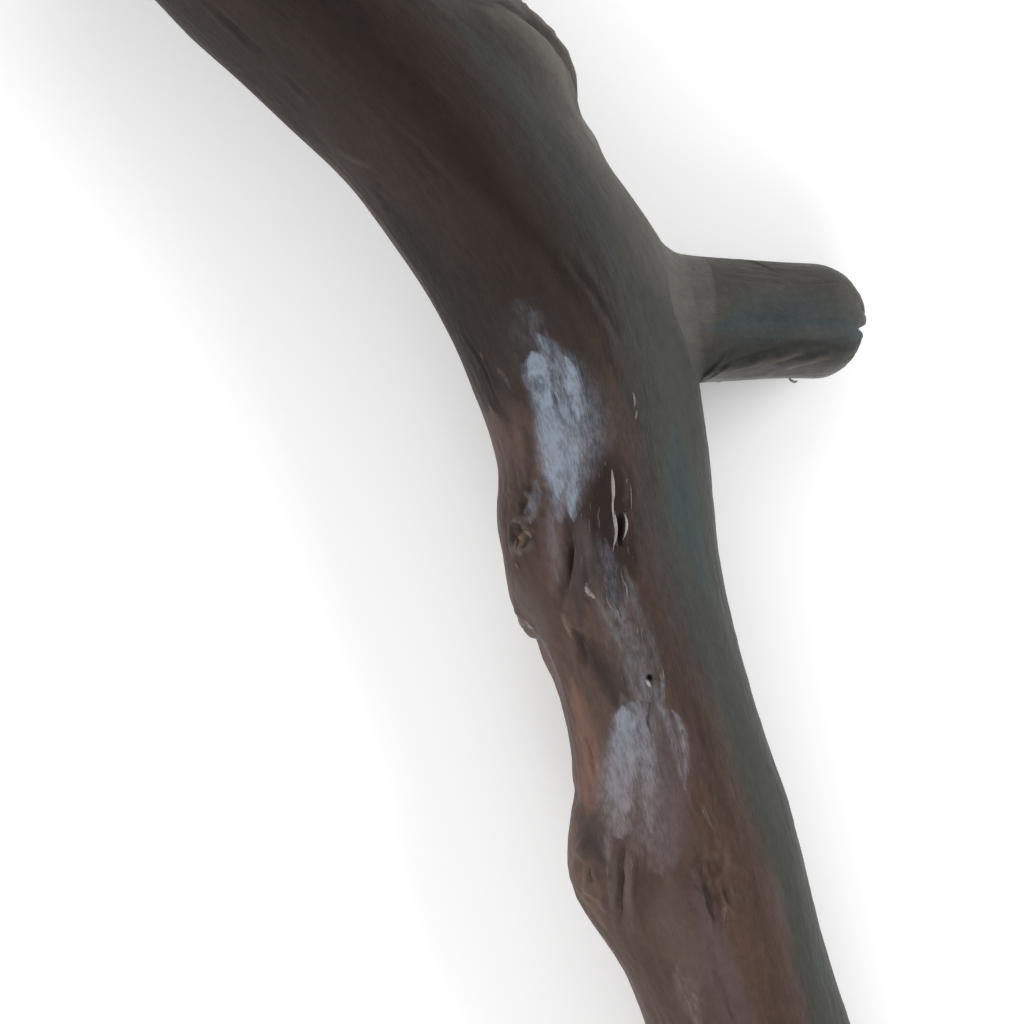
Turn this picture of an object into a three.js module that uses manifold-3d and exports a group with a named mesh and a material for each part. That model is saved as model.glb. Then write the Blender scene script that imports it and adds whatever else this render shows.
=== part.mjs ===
// A fallen tree branch: a gently bent limb with a broken side stub, lying on the plane z = 0.
// The thick end is sawn square, the thin end is snapped, and the stub is an old weathered break.
// Units are millimetres. +Z is up, +Y runs from the snapped end towards the sawn end, and the
// origin lies under the middle of the branch, on the surface that it rests on.

import * as THREE from "three";
import { mergeVertices } from "three/addons/utils/BufferGeometryUtils.js";
import Module from "manifold-3d";

// ---------------------------------------------------------------- driving dimensions

// The limb's course from the sawn end to the snapped end. Each station gives its place in plan
// (x, y), the half-width, the half-height, and the gap that is left under it.
const limbStations = [
  { x: -96.3, y: 189.7, wide: 26.6, high: 26.8, gap: -0.8 },
  { x: -69.3, y: 164.7, wide: 26.6, high: 26.8, gap: -0.8 },
  { x: -42.3, y: 139.7, wide: 26.4, high: 26.8, gap: 1.0 },
  { x: -15.8, y: 114.7, wide: 26.4, high: 27.0, gap: 2.0 },
  { x: 6.2, y: 87.9, wide: 26.8, high: 27.4, gap: 2.8 },
  { x: 22.9, y: 58.1, wide: 27.4, high: 28.0, gap: 3.2 },
  { x: 33.2, y: 25.8, wide: 26.2, high: 26.4, gap: 3.4 },
  { x: 39.8, y: -7.7, wide: 24.4, high: 25.2, gap: 3.4 },
  { x: 48.9, y: -40.7, wide: 23.8, high: 24.0, gap: 3.0 },
  { x: 57.5, y: -72.7, wide: 25.6, high: 24.4, gap: 2.2 },
  { x: 66.3, y: -105.2, wide: 24.5, high: 23.8, gap: 1.0 },
  { x: 75.7, y: -137.2, wide: 23.6, high: 23.0, gap: -0.1 },
  { x: 84.2, y: -170.2, wide: 22.6, high: 22.0, gap: -1.3 },
  { x: 91.7, y: -202.2, wide: 21.6, high: 21.0, gap: -1.6 },
];

// Slow swellings that keep the limb from being round: height in mm, lobes round the section,
// length in mm over which the pattern winds once, and where it starts in degrees.
const swellings = [
  { rise: 0.55, lobes: 2, wind: 310, start: 40 },
  { rise: 0.4, lobes: 3, wind: -190, start: 110 },
  { rise: 0.25, lobes: 5, wind: 240, start: 0 },
];

// Healed knots and burls on the limb. "at" is the distance along the limb from the sawn end and
// "turn" the angle round it from straight up, positive towards +X. "edge" is how sharply the
// swelling ends: 2 is a soft hill and 4 a knob with a clear foot.
const knots = [
  { at: 121, turn: 80, rise: 8.0, long: 18, broad: 15, edge: 4 },
  { at: 237, turn: -82, rise: 4.3, long: 18, broad: 15, edge: 3 },
  { at: 262, turn: -95, rise: 1.0, long: 5, broad: 7, edge: 2 },
  { at: 318, turn: -80, rise: 7.4, long: 19, broad: 16, edge: 2 },
  { at: 330, turn: 2, rise: 1.4, long: 12, broad: 8, edge: 2 },
  { at: 184, turn: 100, rise: 3.0, long: 19, broad: 22, edge: 2 },
  { at: 62, turn: -128, rise: 3.0, long: 13, broad: 12, edge: 2 },
  { at: 374, turn: 128, rise: 3.5, long: 12, broad: 11, edge: 2 },
];

// The side stub leaves the limb's centre line at "at" and falls to the ground, where its end has
// its centre at "endHeight". "swing" is its heading in plan, in degrees from +X. It starts inside
// the limb, narrows away from it by "flare" with the distance "fade", and from "domeFrom" on its
// broken end rounds off.
const stub = {
  at: 181.8,
  swing: 0.5,
  start: 6,
  length: 79.6,
  endHeight: 11.0,
  radius: 14.6,
  flare: 13.3,
  fade: 16,
  domeFrom: 66,
  domePower: 2.4,
};
const stubSwellings = [
  { rise: 0.3, lobes: 3, start: 50 },
  { rise: 0.2, lobes: 2, start: 0 },
];

// The snapped end: the break slants, and its torn steps stand this far along the limb.
const tear = { slant: 7, toward: 150, step: 3.2 };
const tearSteps = [
  { lobes: 3, start: 20 },
  { lobes: 5, start: 75 },
  { lobes: 9, start: 10 },
];

// The facets: rings along each piece, sides round it, and rings across the torn face.
const limbRings = 92;
const limbSides = 32;
const tearRings = 4;
const stubRings = 20;
const stubSides = 28;

// The stub's root stops this far short of the limb, and points closer than this are one.
const joinGap = 0.3;
const mergeTolerance = 1e-4;

const barkColour = new THREE.Color(0x54483f);
const barkRoughness = 0.62;

// ---------------------------------------------------------------- the limb's shape

const radians = THREE.MathUtils.degToRad;
const smoothCurve = (points) => new THREE.CatmullRomCurve3(points, false, "catmullrom", 0.5);

const limbLine = smoothCurve(
  limbStations.map((s) => new THREE.Vector3(s.x, s.y, s.high + s.gap)),
);
const limbSize = smoothCurve(
  limbStations.map((s) => new THREE.Vector3(s.wide, s.high, 0)),
);
const limbLength = limbLine.getLength();

// The centre, the half-width and half-height, and the three directions of the limb's section
// at a distance along it: "ahead" to the snapped end, "side" to the right of that, and "up".
function limbSection(distance) {
  const t = limbLine.getUtoTmapping(Math.min(1, distance / limbLength));
  const ahead = limbLine.getTangent(t);
  const side = new THREE.Vector3(0, 0, 1).cross(ahead).normalize();
  return {
    centre: limbLine.getPoint(t),
    size: limbSize.getPoint(t),
    ahead,
    side,
    up: ahead.clone().cross(side),
  };
}

// The angle between two directions round the limb, from -180 to 180 degrees.
const turnBetween = (a, b) => ((((a - b + 180) % 360) + 360) % 360) - 180;

// How far the knots and swellings lift the surface at a distance along and an angle round.
function limbRelief(distance, turn, radius) {
  let rise = 0;
  for (const s of swellings) {
    rise += s.rise * Math.cos(radians(s.lobes * turn + (360 * distance) / s.wind + s.start));
  }
  for (const k of knots) {
    const along = (distance - k.at) / k.long;
    const around = (radius * radians(turnBetween(turn, k.turn))) / k.broad;
    rise += k.rise * Math.exp(-Math.pow(along * along + around * around, k.edge / 2));
  }
  return rise;
}

// A point on the limb: an ellipse's radius plus the relief, carried "outward" by any extra.
function limbPoint(section, distance, turn, outward) {
  const s = Math.sin(radians(turn));
  const c = Math.cos(radians(turn));
  const { x: wide, y: high } = section.size;
  const ellipse = (wide * high) / Math.hypot(high * s, wide * c);
  const reach = ellipse + limbRelief(distance, turn, ellipse) + outward;
  return section.centre
    .clone()
    .addScaledVector(section.side, reach * s)
    .addScaledVector(section.up, reach * c);
}

// How far the torn fibres stand out along the limb, for a share of the way to the bark.
function tearHeight(turn, share) {
  let steps = 0;
  for (const s of tearSteps) {
    steps += Math.cos(radians(s.lobes * turn + s.start)) / tearSteps.length;
  }
  const slant = tear.slant * share * Math.cos(radians(turnBetween(turn, tear.toward)));
  return slant + tear.step * steps * share;
}

// ---------------------------------------------------------------- closed shells

// Joins rings of equal count into one closed shell, with a pole at each end. Each ring runs
// clockwise as seen from ahead, so that the faces point outwards.
function closedShell(rings, firstPole, lastPole) {
  const count = rings[0].length;
  const points = [...rings.flat(), firstPole, lastPole];
  const first = points.length - 2;
  const last = points.length - 1;
  const faces = [];
  for (let i = 0; i < count; i++) {
    const next = (i + 1) % count;
    faces.push(first, i, next);
    for (let r = 0; r < rings.length - 1; r++) {
      const here = r * count;
      const there = here + count;
      faces.push(here + i, there + i, there + next);
      faces.push(here + i, there + next, here + next);
    }
    const end = (rings.length - 1) * count;
    faces.push(last, end + next, end + i);
  }
  const geometry = new THREE.BufferGeometry().setFromPoints(points);
  return geometry.setIndex(faces);
}

// What lies below the ground is pressed flat on it, as the wood is where the branch rests.
function pressOnGround(geometry) {
  const at = geometry.getAttribute("position");
  for (let i = 0; i < at.count; i++) at.setZ(i, Math.max(0, at.getZ(i)));
  return geometry;
}

const turnsOf = (sides) => Array.from({ length: sides }, (_, i) => (360 * i) / sides);

// The torn face at the snapped end: rings that close in from the rim, each standing out by the
// height of its torn fibres.
function tornRings(rim) {
  const end = limbSection(limbLength);
  const rings = [];
  for (let r = 0; r < tearRings; r++) {
    const share = 1 - r / tearRings;
    const ring = rim.map((point, i) => {
      const reach = tearHeight((360 * i) / rim.length, share);
      return end.centre.clone().lerp(point, share).addScaledVector(end.ahead, reach);
    });
    rings.push(ring);
  }
  return rings;
}

// The whole limb, standing "outward" of its real surface by any extra.
function limbGeometry(outward) {
  const rings = [];
  for (let r = 0; r <= limbRings; r++) {
    const distance = (limbLength * r) / limbRings;
    const section = limbSection(distance);
    rings.push(turnsOf(limbSides).map((turn) => limbPoint(section, distance, turn, outward)));
  }
  rings.push(...tornRings(rings.pop()));
  return closedShell(rings, limbSection(0).centre, limbSection(limbLength).centre);
}

// ---------------------------------------------------------------- the stub's shape

const stubRoot = limbSection(stub.at).centre;
const stubFall = Math.asin((stubRoot.z - stub.endHeight) / stub.length);
const stubAxis = new THREE.Vector3(
  Math.cos(stubFall) * Math.cos(radians(stub.swing)),
  Math.cos(stubFall) * Math.sin(radians(stub.swing)),
  -Math.sin(stubFall),
);
const stubSide = new THREE.Vector3(0, 0, 1).cross(stubAxis).normalize();
const stubUp = stubAxis.clone().cross(stubSide);

const stubCentre = (distance) => stubRoot.clone().addScaledVector(stubAxis, distance);

// The stub's radius: a flare that fades away from the limb, closed by a rounded end.
function stubRadius(distance, turn) {
  let radius = stub.radius + stub.flare * Math.exp(-distance / stub.fade);
  for (const s of stubSwellings) radius += s.rise * Math.cos(radians(s.lobes * turn + s.start));
  const share = Math.max(0, distance - stub.domeFrom) / (stub.length - stub.domeFrom);
  return radius * Math.pow(1 - Math.pow(share, stub.domePower), 1 / stub.domePower);
}

function stubPoint(distance, turn) {
  const radius = stubRadius(distance, turn);
  return stubCentre(distance)
    .addScaledVector(stubSide, radius * Math.sin(radians(turn)))
    .addScaledVector(stubUp, radius * Math.cos(radians(turn)));
}

// The rings draw closer together towards the rounded end.
function stubGeometry() {
  const rings = [];
  for (let r = 0; r < stubRings; r++) {
    const eased = Math.sin((Math.PI / 2) * (r / stubRings));
    const distance = stub.start + (stub.length - stub.start) * eased;
    rings.push(turnsOf(stubSides).map((turn) => stubPoint(distance, turn)));
  }
  return closedShell(rings, stubCentre(stub.start), stubCentre(stub.length));
}

// ---------------------------------------------------------------- solids and nodes

const wasm = await Module();
wasm.setup();

function solidOf(geometry) {
  const merged = mergeVertices(geometry, mergeTolerance);
  return new wasm.Manifold(
    new wasm.Mesh({
      numProp: 3,
      vertProperties: merged.getAttribute("position").array,
      triVerts: new Uint32Array(merged.index.array),
    }),
  );
}

function geometryOf(solid) {
  const mesh = solid.getMesh();
  const geometry = new THREE.BufferGeometry();
  geometry.setAttribute("position", new THREE.BufferAttribute(mesh.vertProperties, 3));
  geometry.setIndex(new THREE.BufferAttribute(mesh.triVerts, 1));
  return geometry;
}

function node(name, geometry) {
  geometry.computeVertexNormals();
  const material = new THREE.MeshStandardMaterial({
    color: barkColour,
    roughness: barkRoughness,
    metalness: 0,
  });
  const mesh = new THREE.Mesh(geometry, material);
  mesh.name = name;
  return mesh;
}

const branch = new THREE.Group();
branch.add(node("limb", pressOnGround(limbGeometry(0))));

const stubShell = solidOf(pressOnGround(stubGeometry()));
const limbAndGap = solidOf(limbGeometry(joinGap));
branch.add(node("side_stub", geometryOf(stubShell.subtract(limbAndGap))));

export default branch;
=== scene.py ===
"""A fallen tree branch on a pale floor: a gently bent limb with burls and a broken side stub.

The limb is sawn square at its thick end and snapped at its thin end. The branch is measured in
millimetres and degrees, and its meshes are written in metres. Places on the limb are given as a
distance from the sawn end and a turn from straight up, positive towards +X.
"""

import bpy
import numpy as np
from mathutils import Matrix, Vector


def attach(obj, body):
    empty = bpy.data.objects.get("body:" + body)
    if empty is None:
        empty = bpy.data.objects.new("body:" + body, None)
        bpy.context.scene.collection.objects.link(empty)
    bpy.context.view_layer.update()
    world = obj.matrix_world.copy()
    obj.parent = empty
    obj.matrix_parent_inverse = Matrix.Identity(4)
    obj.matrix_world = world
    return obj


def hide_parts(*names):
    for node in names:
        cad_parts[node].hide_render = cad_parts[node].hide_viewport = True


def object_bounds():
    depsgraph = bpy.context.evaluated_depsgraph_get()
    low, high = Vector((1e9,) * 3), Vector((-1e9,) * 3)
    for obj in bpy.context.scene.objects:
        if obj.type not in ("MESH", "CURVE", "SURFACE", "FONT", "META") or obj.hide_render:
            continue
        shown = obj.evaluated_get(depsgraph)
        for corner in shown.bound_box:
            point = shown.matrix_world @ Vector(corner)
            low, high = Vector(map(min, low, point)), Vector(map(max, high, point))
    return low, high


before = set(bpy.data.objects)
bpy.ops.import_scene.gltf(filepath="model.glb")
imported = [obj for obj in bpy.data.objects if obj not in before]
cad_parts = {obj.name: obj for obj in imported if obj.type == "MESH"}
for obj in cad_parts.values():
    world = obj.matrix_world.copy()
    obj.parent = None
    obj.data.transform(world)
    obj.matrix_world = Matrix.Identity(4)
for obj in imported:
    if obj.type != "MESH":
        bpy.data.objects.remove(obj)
cad_low, cad_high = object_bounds()


# ----------------------------------------------------------------------
# The limb. A wrist-thick length of a forest branch, grown in one with everything on it. It has
# smooth thin bark, burls, and healed knots where shoots died back. The wind and sun have paled
# it along the top, where the same pale streaks also carry a painted sky reflection, and it lies
# on an underside that the ground has pressed flat.
# ----------------------------------------------------------------------

MM = 0.001

# The limb's course from the sawn end to the snapped end: x, y, half-width, half-height and the
# gap left under it.
limb_course = np.array([
    [-96.3, 189.7, 26.6, 26.8, -0.8],
    [-69.3, 164.7, 26.6, 26.8, -0.8],
    [-42.3, 139.7, 26.4, 26.8, 1.0],
    [-15.8, 114.7, 26.4, 27.0, 2.0],
    [6.2, 87.9, 26.8, 27.4, 2.8],
    [22.9, 58.1, 27.4, 28.0, 3.2],
    [33.2, 25.8, 26.2, 26.4, 3.4],
    [39.8, -7.7, 24.4, 25.2, 3.4],
    [48.9, -40.7, 23.8, 24.0, 3.0],
    [57.5, -72.7, 25.6, 24.4, 2.2],
    [66.3, -105.2, 24.5, 23.8, 1.0],
    [75.7, -137.2, 23.6, 23.0, -0.1],
    [84.2, -170.2, 22.6, 22.0, -1.3],
    [91.7, -202.2, 21.6, 21.0, -1.6],
])

# Slow swellings: height, lobes round the section, length of one winding, starting angle.
limb_swellings = [
    (0.55, 2, 310, 40),
    (0.4, 3, -190, 110),
    (0.25, 5, 240, 0),
]

# Burls and healed knots: distance, turn, height, length, breadth, and how square the edge is.
limb_knots = [
    (123, 80, 8.2, 18, 15, 4),
    (237, -82, 4.3, 18, 15, 3),
    (262, -95, 1.0, 5, 7, 2),
    (318, -80, 7.4, 19, 16, 2),
    (330, 2, 1.4, 12, 8, 2),
    (184, 100, 3.0, 19, 22, 2),
    (62, -128, 3.0, 13, 12, 2),
    (374, 128, 3.5, 12, 11, 2),
]


def curve_through(points, share):
    """A smooth curve through points, at shares from 0 to 1 of its spans. Each span is a cubic
    whose slope at a point is half the step from the point before it to the point after it."""
    spans = len(points) - 1
    place = np.clip(share, 0, 1) * spans
    span = np.minimum(place.astype(int), spans - 1)
    w = (place - span)[:, None]
    before = 2 * points[0] - points[1]
    after = 2 * points[-1] - points[-2]
    padded = np.vstack([before, points, after])
    a, b, c, d = (padded[span + k] for k in range(4))
    leave, arrive = 0.5 * (c - a), 0.5 * (d - b)
    return b + w * (leave + w * (3 * (c - b) - 2 * leave - arrive + w * (2 * (b - c) + leave + arrive)))


def unit(vectors):
    """Each vector divided by its own length."""
    return vectors / np.linalg.norm(vectors, axis=-1, keepdims=True)


centre_points = np.column_stack([
    limb_course[:, 0],
    limb_course[:, 1],
    limb_course[:, 3] + limb_course[:, 4],
])
shares = np.linspace(0, 1, 201)
steps = np.linalg.norm(np.diff(curve_through(centre_points, shares), axis=0), axis=1)
lengths = np.append(0, np.cumsum(steps))
limb_length = lengths[-1]

# The spine, every half millimetre: centre, the three directions of the section, and its size.
SPINE_STATIONS = 900
spine_at = np.linspace(0, limb_length, SPINE_STATIONS)
spine_share = np.interp(spine_at, lengths, shares)
spine_centre = curve_through(centre_points, spine_share)
spine_ahead = unit(
    curve_through(centre_points, spine_share + 1e-4)
    - curve_through(centre_points, spine_share - 1e-4)
)
spine_side = unit(np.cross([0, 0, 1], spine_ahead))
spine_up = np.cross(spine_ahead, spine_side)
spine_size = curve_through(limb_course[:, 2:4], spine_share)


def on_spine(table, at):
    """A spine table's values at any distances along, read between its rows."""
    columns = [np.interp(at, spine_at, table[:, k]) for k in range(table.shape[1])]
    return np.stack(columns, axis=-1)


def between(turn, other):
    """The angle from one direction round the limb to another, from -180 to 180."""
    return (turn - other + 180) % 360 - 180


NOISE_CELLS = 32  # the noise repeats after this many cells


def soft_noise(points, seed):
    """Noise from -1 to 1: random values at whole-number points, blended smoothly between them."""
    values = np.random.default_rng(seed).uniform(-1, 1, 3 * (NOISE_CELLS,))
    cell = np.floor(points).astype(int)
    part = points - cell
    part = part * part * (3 - 2 * part)
    total = 0
    for corner in np.ndindex(2, 2, 2):
        i, j, k = np.moveaxis((cell + corner) % NOISE_CELLS, -1, 0)
        weight = np.prod(np.where(corner, part, 1 - part), axis=-1)
        total = total + weight * values[i, j, k]
    return total


FLANK_RADIUS = 26  # turns become millimetres round the limb at this radius


def grain_place(at, turn, radius):
    """Where a point would be if the limb were straightened out along its own grain."""
    angle = np.radians(turn)
    return np.stack(np.broadcast_arrays(radius * np.sin(angle), radius * np.cos(angle), at), axis=-1)


def window(values, low, high, edge):
    """1 between low and high and 0 outside: two S-curves multiplied, each as soft as the edge."""
    return 1 / (1 + np.exp((low - values) / edge)) / (1 + np.exp((values - high) / edge))


def along_course(at, turn, course):
    """How far each point lies beside a bent line of (distance, turn) points, in millimetres round
    the limb, and a fade that grows from 0 at the line's ends as the root of half a sine wave."""
    line_at, line_turn = np.array(course, float).T[:2]
    beside = np.radians(between(turn, np.interp(at, line_at, line_turn))) * FLANK_RADIUS
    reach = np.clip((at - line_at[0]) / (line_at[-1] - line_at[0]), 0, 1)
    return beside, np.sqrt(np.sin(np.pi * reach))


# Grooves and cracks: depth (a ridge where it is negative), half-width, and the line they follow.
limb_furrows = [
    (0.85, 1.3, [(229, -27.5), (233, -27), (238, -29.5), (241.5, -32), (246, -40.5), (250, -47)]),
    (0.4, 0.6, [(236, -28.5), (240, -30.5), (243, -34.5), (246, -39.5)]),
    (-0.7, 1.4, [(229, -19), (233, -18), (238, -18), (242, -23), (246, -31)]),
    (0.3, 0.6, [(229, -13), (234, -14), (240, -15.5), (246, -20)]),
    (0.5, 0.6, [(239, -21), (243, -23), (249, -27)]),
    (0.4, 0.5, [(230, -13), (236, -13.5), (243, -15)]),
    (1.8, 0.7, [(231, 2), (234, 0.5), (237.5, -1.5), (239, -2)]),
    (0.4, 0.6, [(220, 8), (225, 8), (231, 6)]),
    (0.8, 1.3, [(256, -38), (260, -40.5), (265, -43)]),
    (-0.6, 1.2, [(251, -44), (254, -44), (257.5, -45)]),
    (-0.3, 0.7, [(243, -11), (247, -12.5), (253, -11.5), (258, -9)]),
    (-0.3, 0.6, [(246, -4), (251, -5), (257, -2)]),
    (-0.5, 3.0, [(244, -22), (252, -18), (262, -10), (276, -6)]),
    (1.1, 0.55, [(275, -5.5), (278, -9), (281, -11), (285, -11.5)]),
    (-0.5, 0.6, [(274.5, -5), (277.5, -7.5), (280.5, -12), (283, -13)]),
    (0.35, 0.5, [(283, -9), (292, -10.5), (302, -12)]),
    (0.3, 0.5, [(281, -5), (289, -7), (300, -8.5)]),
    (-0.35, 0.5, [(280, 3.5), (285, 5), (291, 4.5), (296, 1), (300, -1)]),
    (-0.4, 0.5, [(270, 3), (274, 1), (279, -2)]),
    (0.4, 0.6, [(288, -34), (291, -37), (295, -37)]),
    (0.7, 0.7, [(282, -60), (285, -57), (288.5, -56), (292, -57)]),
    (1.15, 0.48, [(308, -41.5), (311, -43), (315, -45.3), (319, -48.2), (325, -53), (328, -55)]),
    (-0.7, 1.0, [(305, -48), (310, -48), (315, -50), (320, -53), (325, -58)]),
    (-0.7, 0.9, [(308, -38), (313, -41), (318, -43.5), (324, -47.5), (332, -52)]),
    (0.6, 0.55, [(311, -36.5), (314, -38.5), (318, -40), (323, -43.5), (327, -47)]),
    (-0.35, 0.8, [(317, -57), (321, -58), (326, -61)]),
    (0.5, 0.8, [(316, -54.5), (320, -56), (325, -59.5)]),
    (-0.5, 1.0, [(307.5, -74), (310, -69), (312, -66)]),
    (-0.3, 1.0, [(315, -71), (318, -66), (322, -61), (325, -60)]),
    (0.4, 0.9, [(318, -73), (321, -66), (325, -63.5)]),
    (0.8, 0.42, [(320.5, -6), (323, -5), (326, -5.5), (329, -4.5), (332, -5)]),
    (0.6, 0.42, [(321, -9.5), (323, -7.5), (325, -6)]),
    (0.5, 0.5, [(320, 2), (323, 5), (326, 4), (330.5, 8)]),
    (-0.5, 0.6, [(325, 3.5), (329, 2), (334, -1.5)]),
    (-0.35, 0.5, [(301.5, 5.5), (305, 6), (308, 7), (313, 7.5), (319, 9), (323, 10)]),
    (0.45, 0.5, [(299.5, 1.5), (303, -0.5), (306, 1)]),
    (1.0, 0.5, [(191.6, -23), (192.8, -19.4), (195.5, -17.6), (199, -19.5), (203, -20), (208, -17)]),
    (0.8, 0.42, [(198, -12), (203, -13.5), (208, -11)]),
    (0.6, 0.42, [(188, -27), (191, -29), (195, -30), (198, -27)]),
    (0.4, 0.6, [(338, -32), (348, -29.5), (360, -28)]),
    (0.4, 0.35, [(338, -11.4), (346, -11), (358, -10), (372, -9)]),
    (1.1, 1.5, [(114, 60), (121, 64), (127, 69), (133, 73), (138, 78), (142, 84)]),
    (0.5, 1.0, [(116, 71), (124, 66), (131, 66), (138, 72)]),
    (-0.8, 1.6, [(114, 53), (121, 56), (127, 59), (133, 62), (140, 66), (146, 70)]),
    (-0.6, 1.2, [(118, 76), (126, 78), (133, 81), (138, 86)]),
    (0.7, 0.9, [(66, -49.5), (72, -49), (78, -49.5), (85, -49)]),
    (0.4, 0.8, [(90, -51), (94, -50.5), (98, -51), (103, -49)]),
    (-0.6, 1.2, [(114, -62), (119, -57), (124, -51), (129, -47)]),
    (0.35, 0.6, [(117, 2), (122, 3), (127, 2.5), (132, 2)]),
    (-0.3, 0.5, [(118, 5), (123, 6), (128, 5.5), (132, 5)]),
    (0.3, 0.7, [(122, -25), (130, -22.5), (140, -21), (150, -18)]),
    (-0.25, 0.6, [(124, -21), (131, -19), (140, -17), (148, -14)]),
    (0.5, 0.9, [(171, 13), (178, 14), (184, 16.5), (192, 21.5)]),
    (0.3, 0.6, [(40, 18), (56, 20), (72, 16)]),
    (0.3, 0.5, [(96, 30), (108, 34), (122, 33)]),
    (-0.4, 1.4, [(96, -84), (120, -76), (150, -74), (176, -78)]),
    (0.45, 0.6, [(176, -60), (187, -55), (199, -54)]),
]

# Healed knots' eyes: (distance, turn), radius, height.
limb_eyes = [
    ((233, -57.5), 3.0, 0.9),
    ((315, -66), 3.9, 0.25),
    ((318.6, 1.5), 2.6, 0.38),
    ((195.2, -23.5), 2.4, 0.8),
    ((226, -52), 2.6, 0.35),
    ((62, -128), 4.0, 0.8),
    ((374, 128), 3.6, 0.8),
    ((121, 86), 5.0, 0.6),
]

# Broad hollows, and lumps where the depth is negative: (distance, turn), length, breadth, depth.
limb_hollows = [
    ((266, -31), 9, 5.5, 0.8),
    ((306.5, -63), 4.0, 4.8, 0.75),
    ((312, -55), 2.6, 2.0, 0.7),
    ((223, -13), 6, 3, 0.4),
    ((240, -31), 8, 2.6, 0.6),
    ((297, -84), 2.6, 5, 1.0),
    ((130.5, -54), 1.1, 0.8, 0.7),
    ((132.4, -54), 1.0, 0.9, -0.3),
    ((149, 80), 4.2, 4.5, -1.2),
    ((58, -30), 2.2, 1.4, 0.4),
    ((104, 16), 1.6, 1.2, 0.3),
    ((160, -8), 2.4, 1.2, 0.3),
    ((270.5, -4), 2.4, 2.4, 0.4),
    ((233.6, -59), 1.1, 1.0, -0.8),
    ((231.8, -55), 1.3, 1.1, -0.7),
    ((236.8, -60), 1.0, 0.9, -0.4),
    ((235.4, -57), 0.7, 0.6, 0.7),
    ((233.4, -51), 0.9, 0.6, 0.7),
    ((232.4, -63.5), 1.6, 0.6, 0.6),
    ((225.5, -49), 2.4, 2.1, -0.7),
    ((222.8, -41), 1.1, 1.8, 0.5),
    ((227.5, -35), 1.3, 0.9, 0.5),
    ((221, -63), 1.4, 1.4, -0.3),
    ((247.5, -24), 1.2, 1.0, -0.8),
    ((249.4, -26), 0.9, 0.9, 0.6),
    ((254, -44), 2.0, 1.3, -0.7),
    ((309, -68.5), 2.0, 1.0, -1.1),
    ((311.6, -65.5), 2.0, 0.9, -1.2),
    ((314.4, -60.5), 1.6, 0.9, -1.0),
    ((312.6, -70), 1.6, 0.8, 0.9),
    ((315.2, -64), 1.3, 0.8, 1.2),
    ((317.6, -66), 2.2, 1.2, -1.0),
    ((320, -62), 1.4, 0.8, 0.7),
    ((320.5, -58), 1.6, 1.0, 0.4),
    ((316.5, -71), 1.8, 1.1, 0.5),
]

# Crusty places, where the bark is broken into grains: (distance, turn), length, breadth, depth.
limb_crusts = [
    ((230, -55), 11, 9, 0.55),
    ((223, -46), 5, 6, 0.35),
    ((260, -8), 14, 5, 0.3),
    ((253, -78), 5, 5, 0.8),
    ((316, -64), 9, 8, 0.5),
    ((322, -1), 9, 6, 0.65),
    ((252, -15), 10, 7, 0.3),
    ((287, -58), 7, 3, 0.3),
    ((124, 78), 14, 8, 0.5),
    ((370, 128), 9, 9, 0.6),
    ((62, -128), 9, 9, 0.6),
]


# The ledge under the first burl, and the beetle's exit hole.
ledge_edge, ledge_turn, ledge_high = 256, -80, 1.9
hole_at, hole_turn, hole_radius, hole_deep = 270.5, -4, 0.85, 1.3
LIP = 0.3  # a furrow pushes up a lip on either side, as this share of its depth


def bell(at, turn, centre, long, broad):
    """A rounded bell on the bark: e to the minus square of the distance from its centre, measured
    in its own length and breadth."""
    across = np.radians(between(turn, centre[1])) * FLANK_RADIUS
    return np.exp(-(((at - centre[0]) / long) ** 2) - (across / broad) ** 2)


def eye(at, turn, centre, size, wobble):
    """A healed knot's eye: a rolled rim, a sunken ring inside it and a small plug, each a bell
    round the centre, on distances that the wobble noise bends."""
    across = np.radians(between(turn, centre[1])) * FLANK_RADIUS
    away = np.hypot((at - centre[0]) / 1.2, across) / size * (1 + 0.35 * wobble)
    rim = np.exp(-(((away - 1) / 0.34) ** 2))
    sunk = np.exp(-(((away - 0.45) / 0.25) ** 2))
    plug = np.exp(-((away / 0.28) ** 2))
    return rim - 1.1 * sunk + 0.4 * plug


def smooth_relief(at, turn, radius):
    """The swellings and knots: cosines that wind round the limb, and bells on the burls."""
    rise = 0
    for high, lobes, winding, start in limb_swellings:
        rise = rise + high * np.cos(np.radians(lobes * turn + 360 * at / winding + start))
    for knot_at, bearing, high, long, broad, edge in limb_knots:
        along = (at - knot_at) / long
        around = radius * np.radians(between(turn, bearing)) / broad
        rise = rise + high * np.exp(-((along ** 2 + around ** 2) ** (edge / 2)))
    return rise


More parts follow.
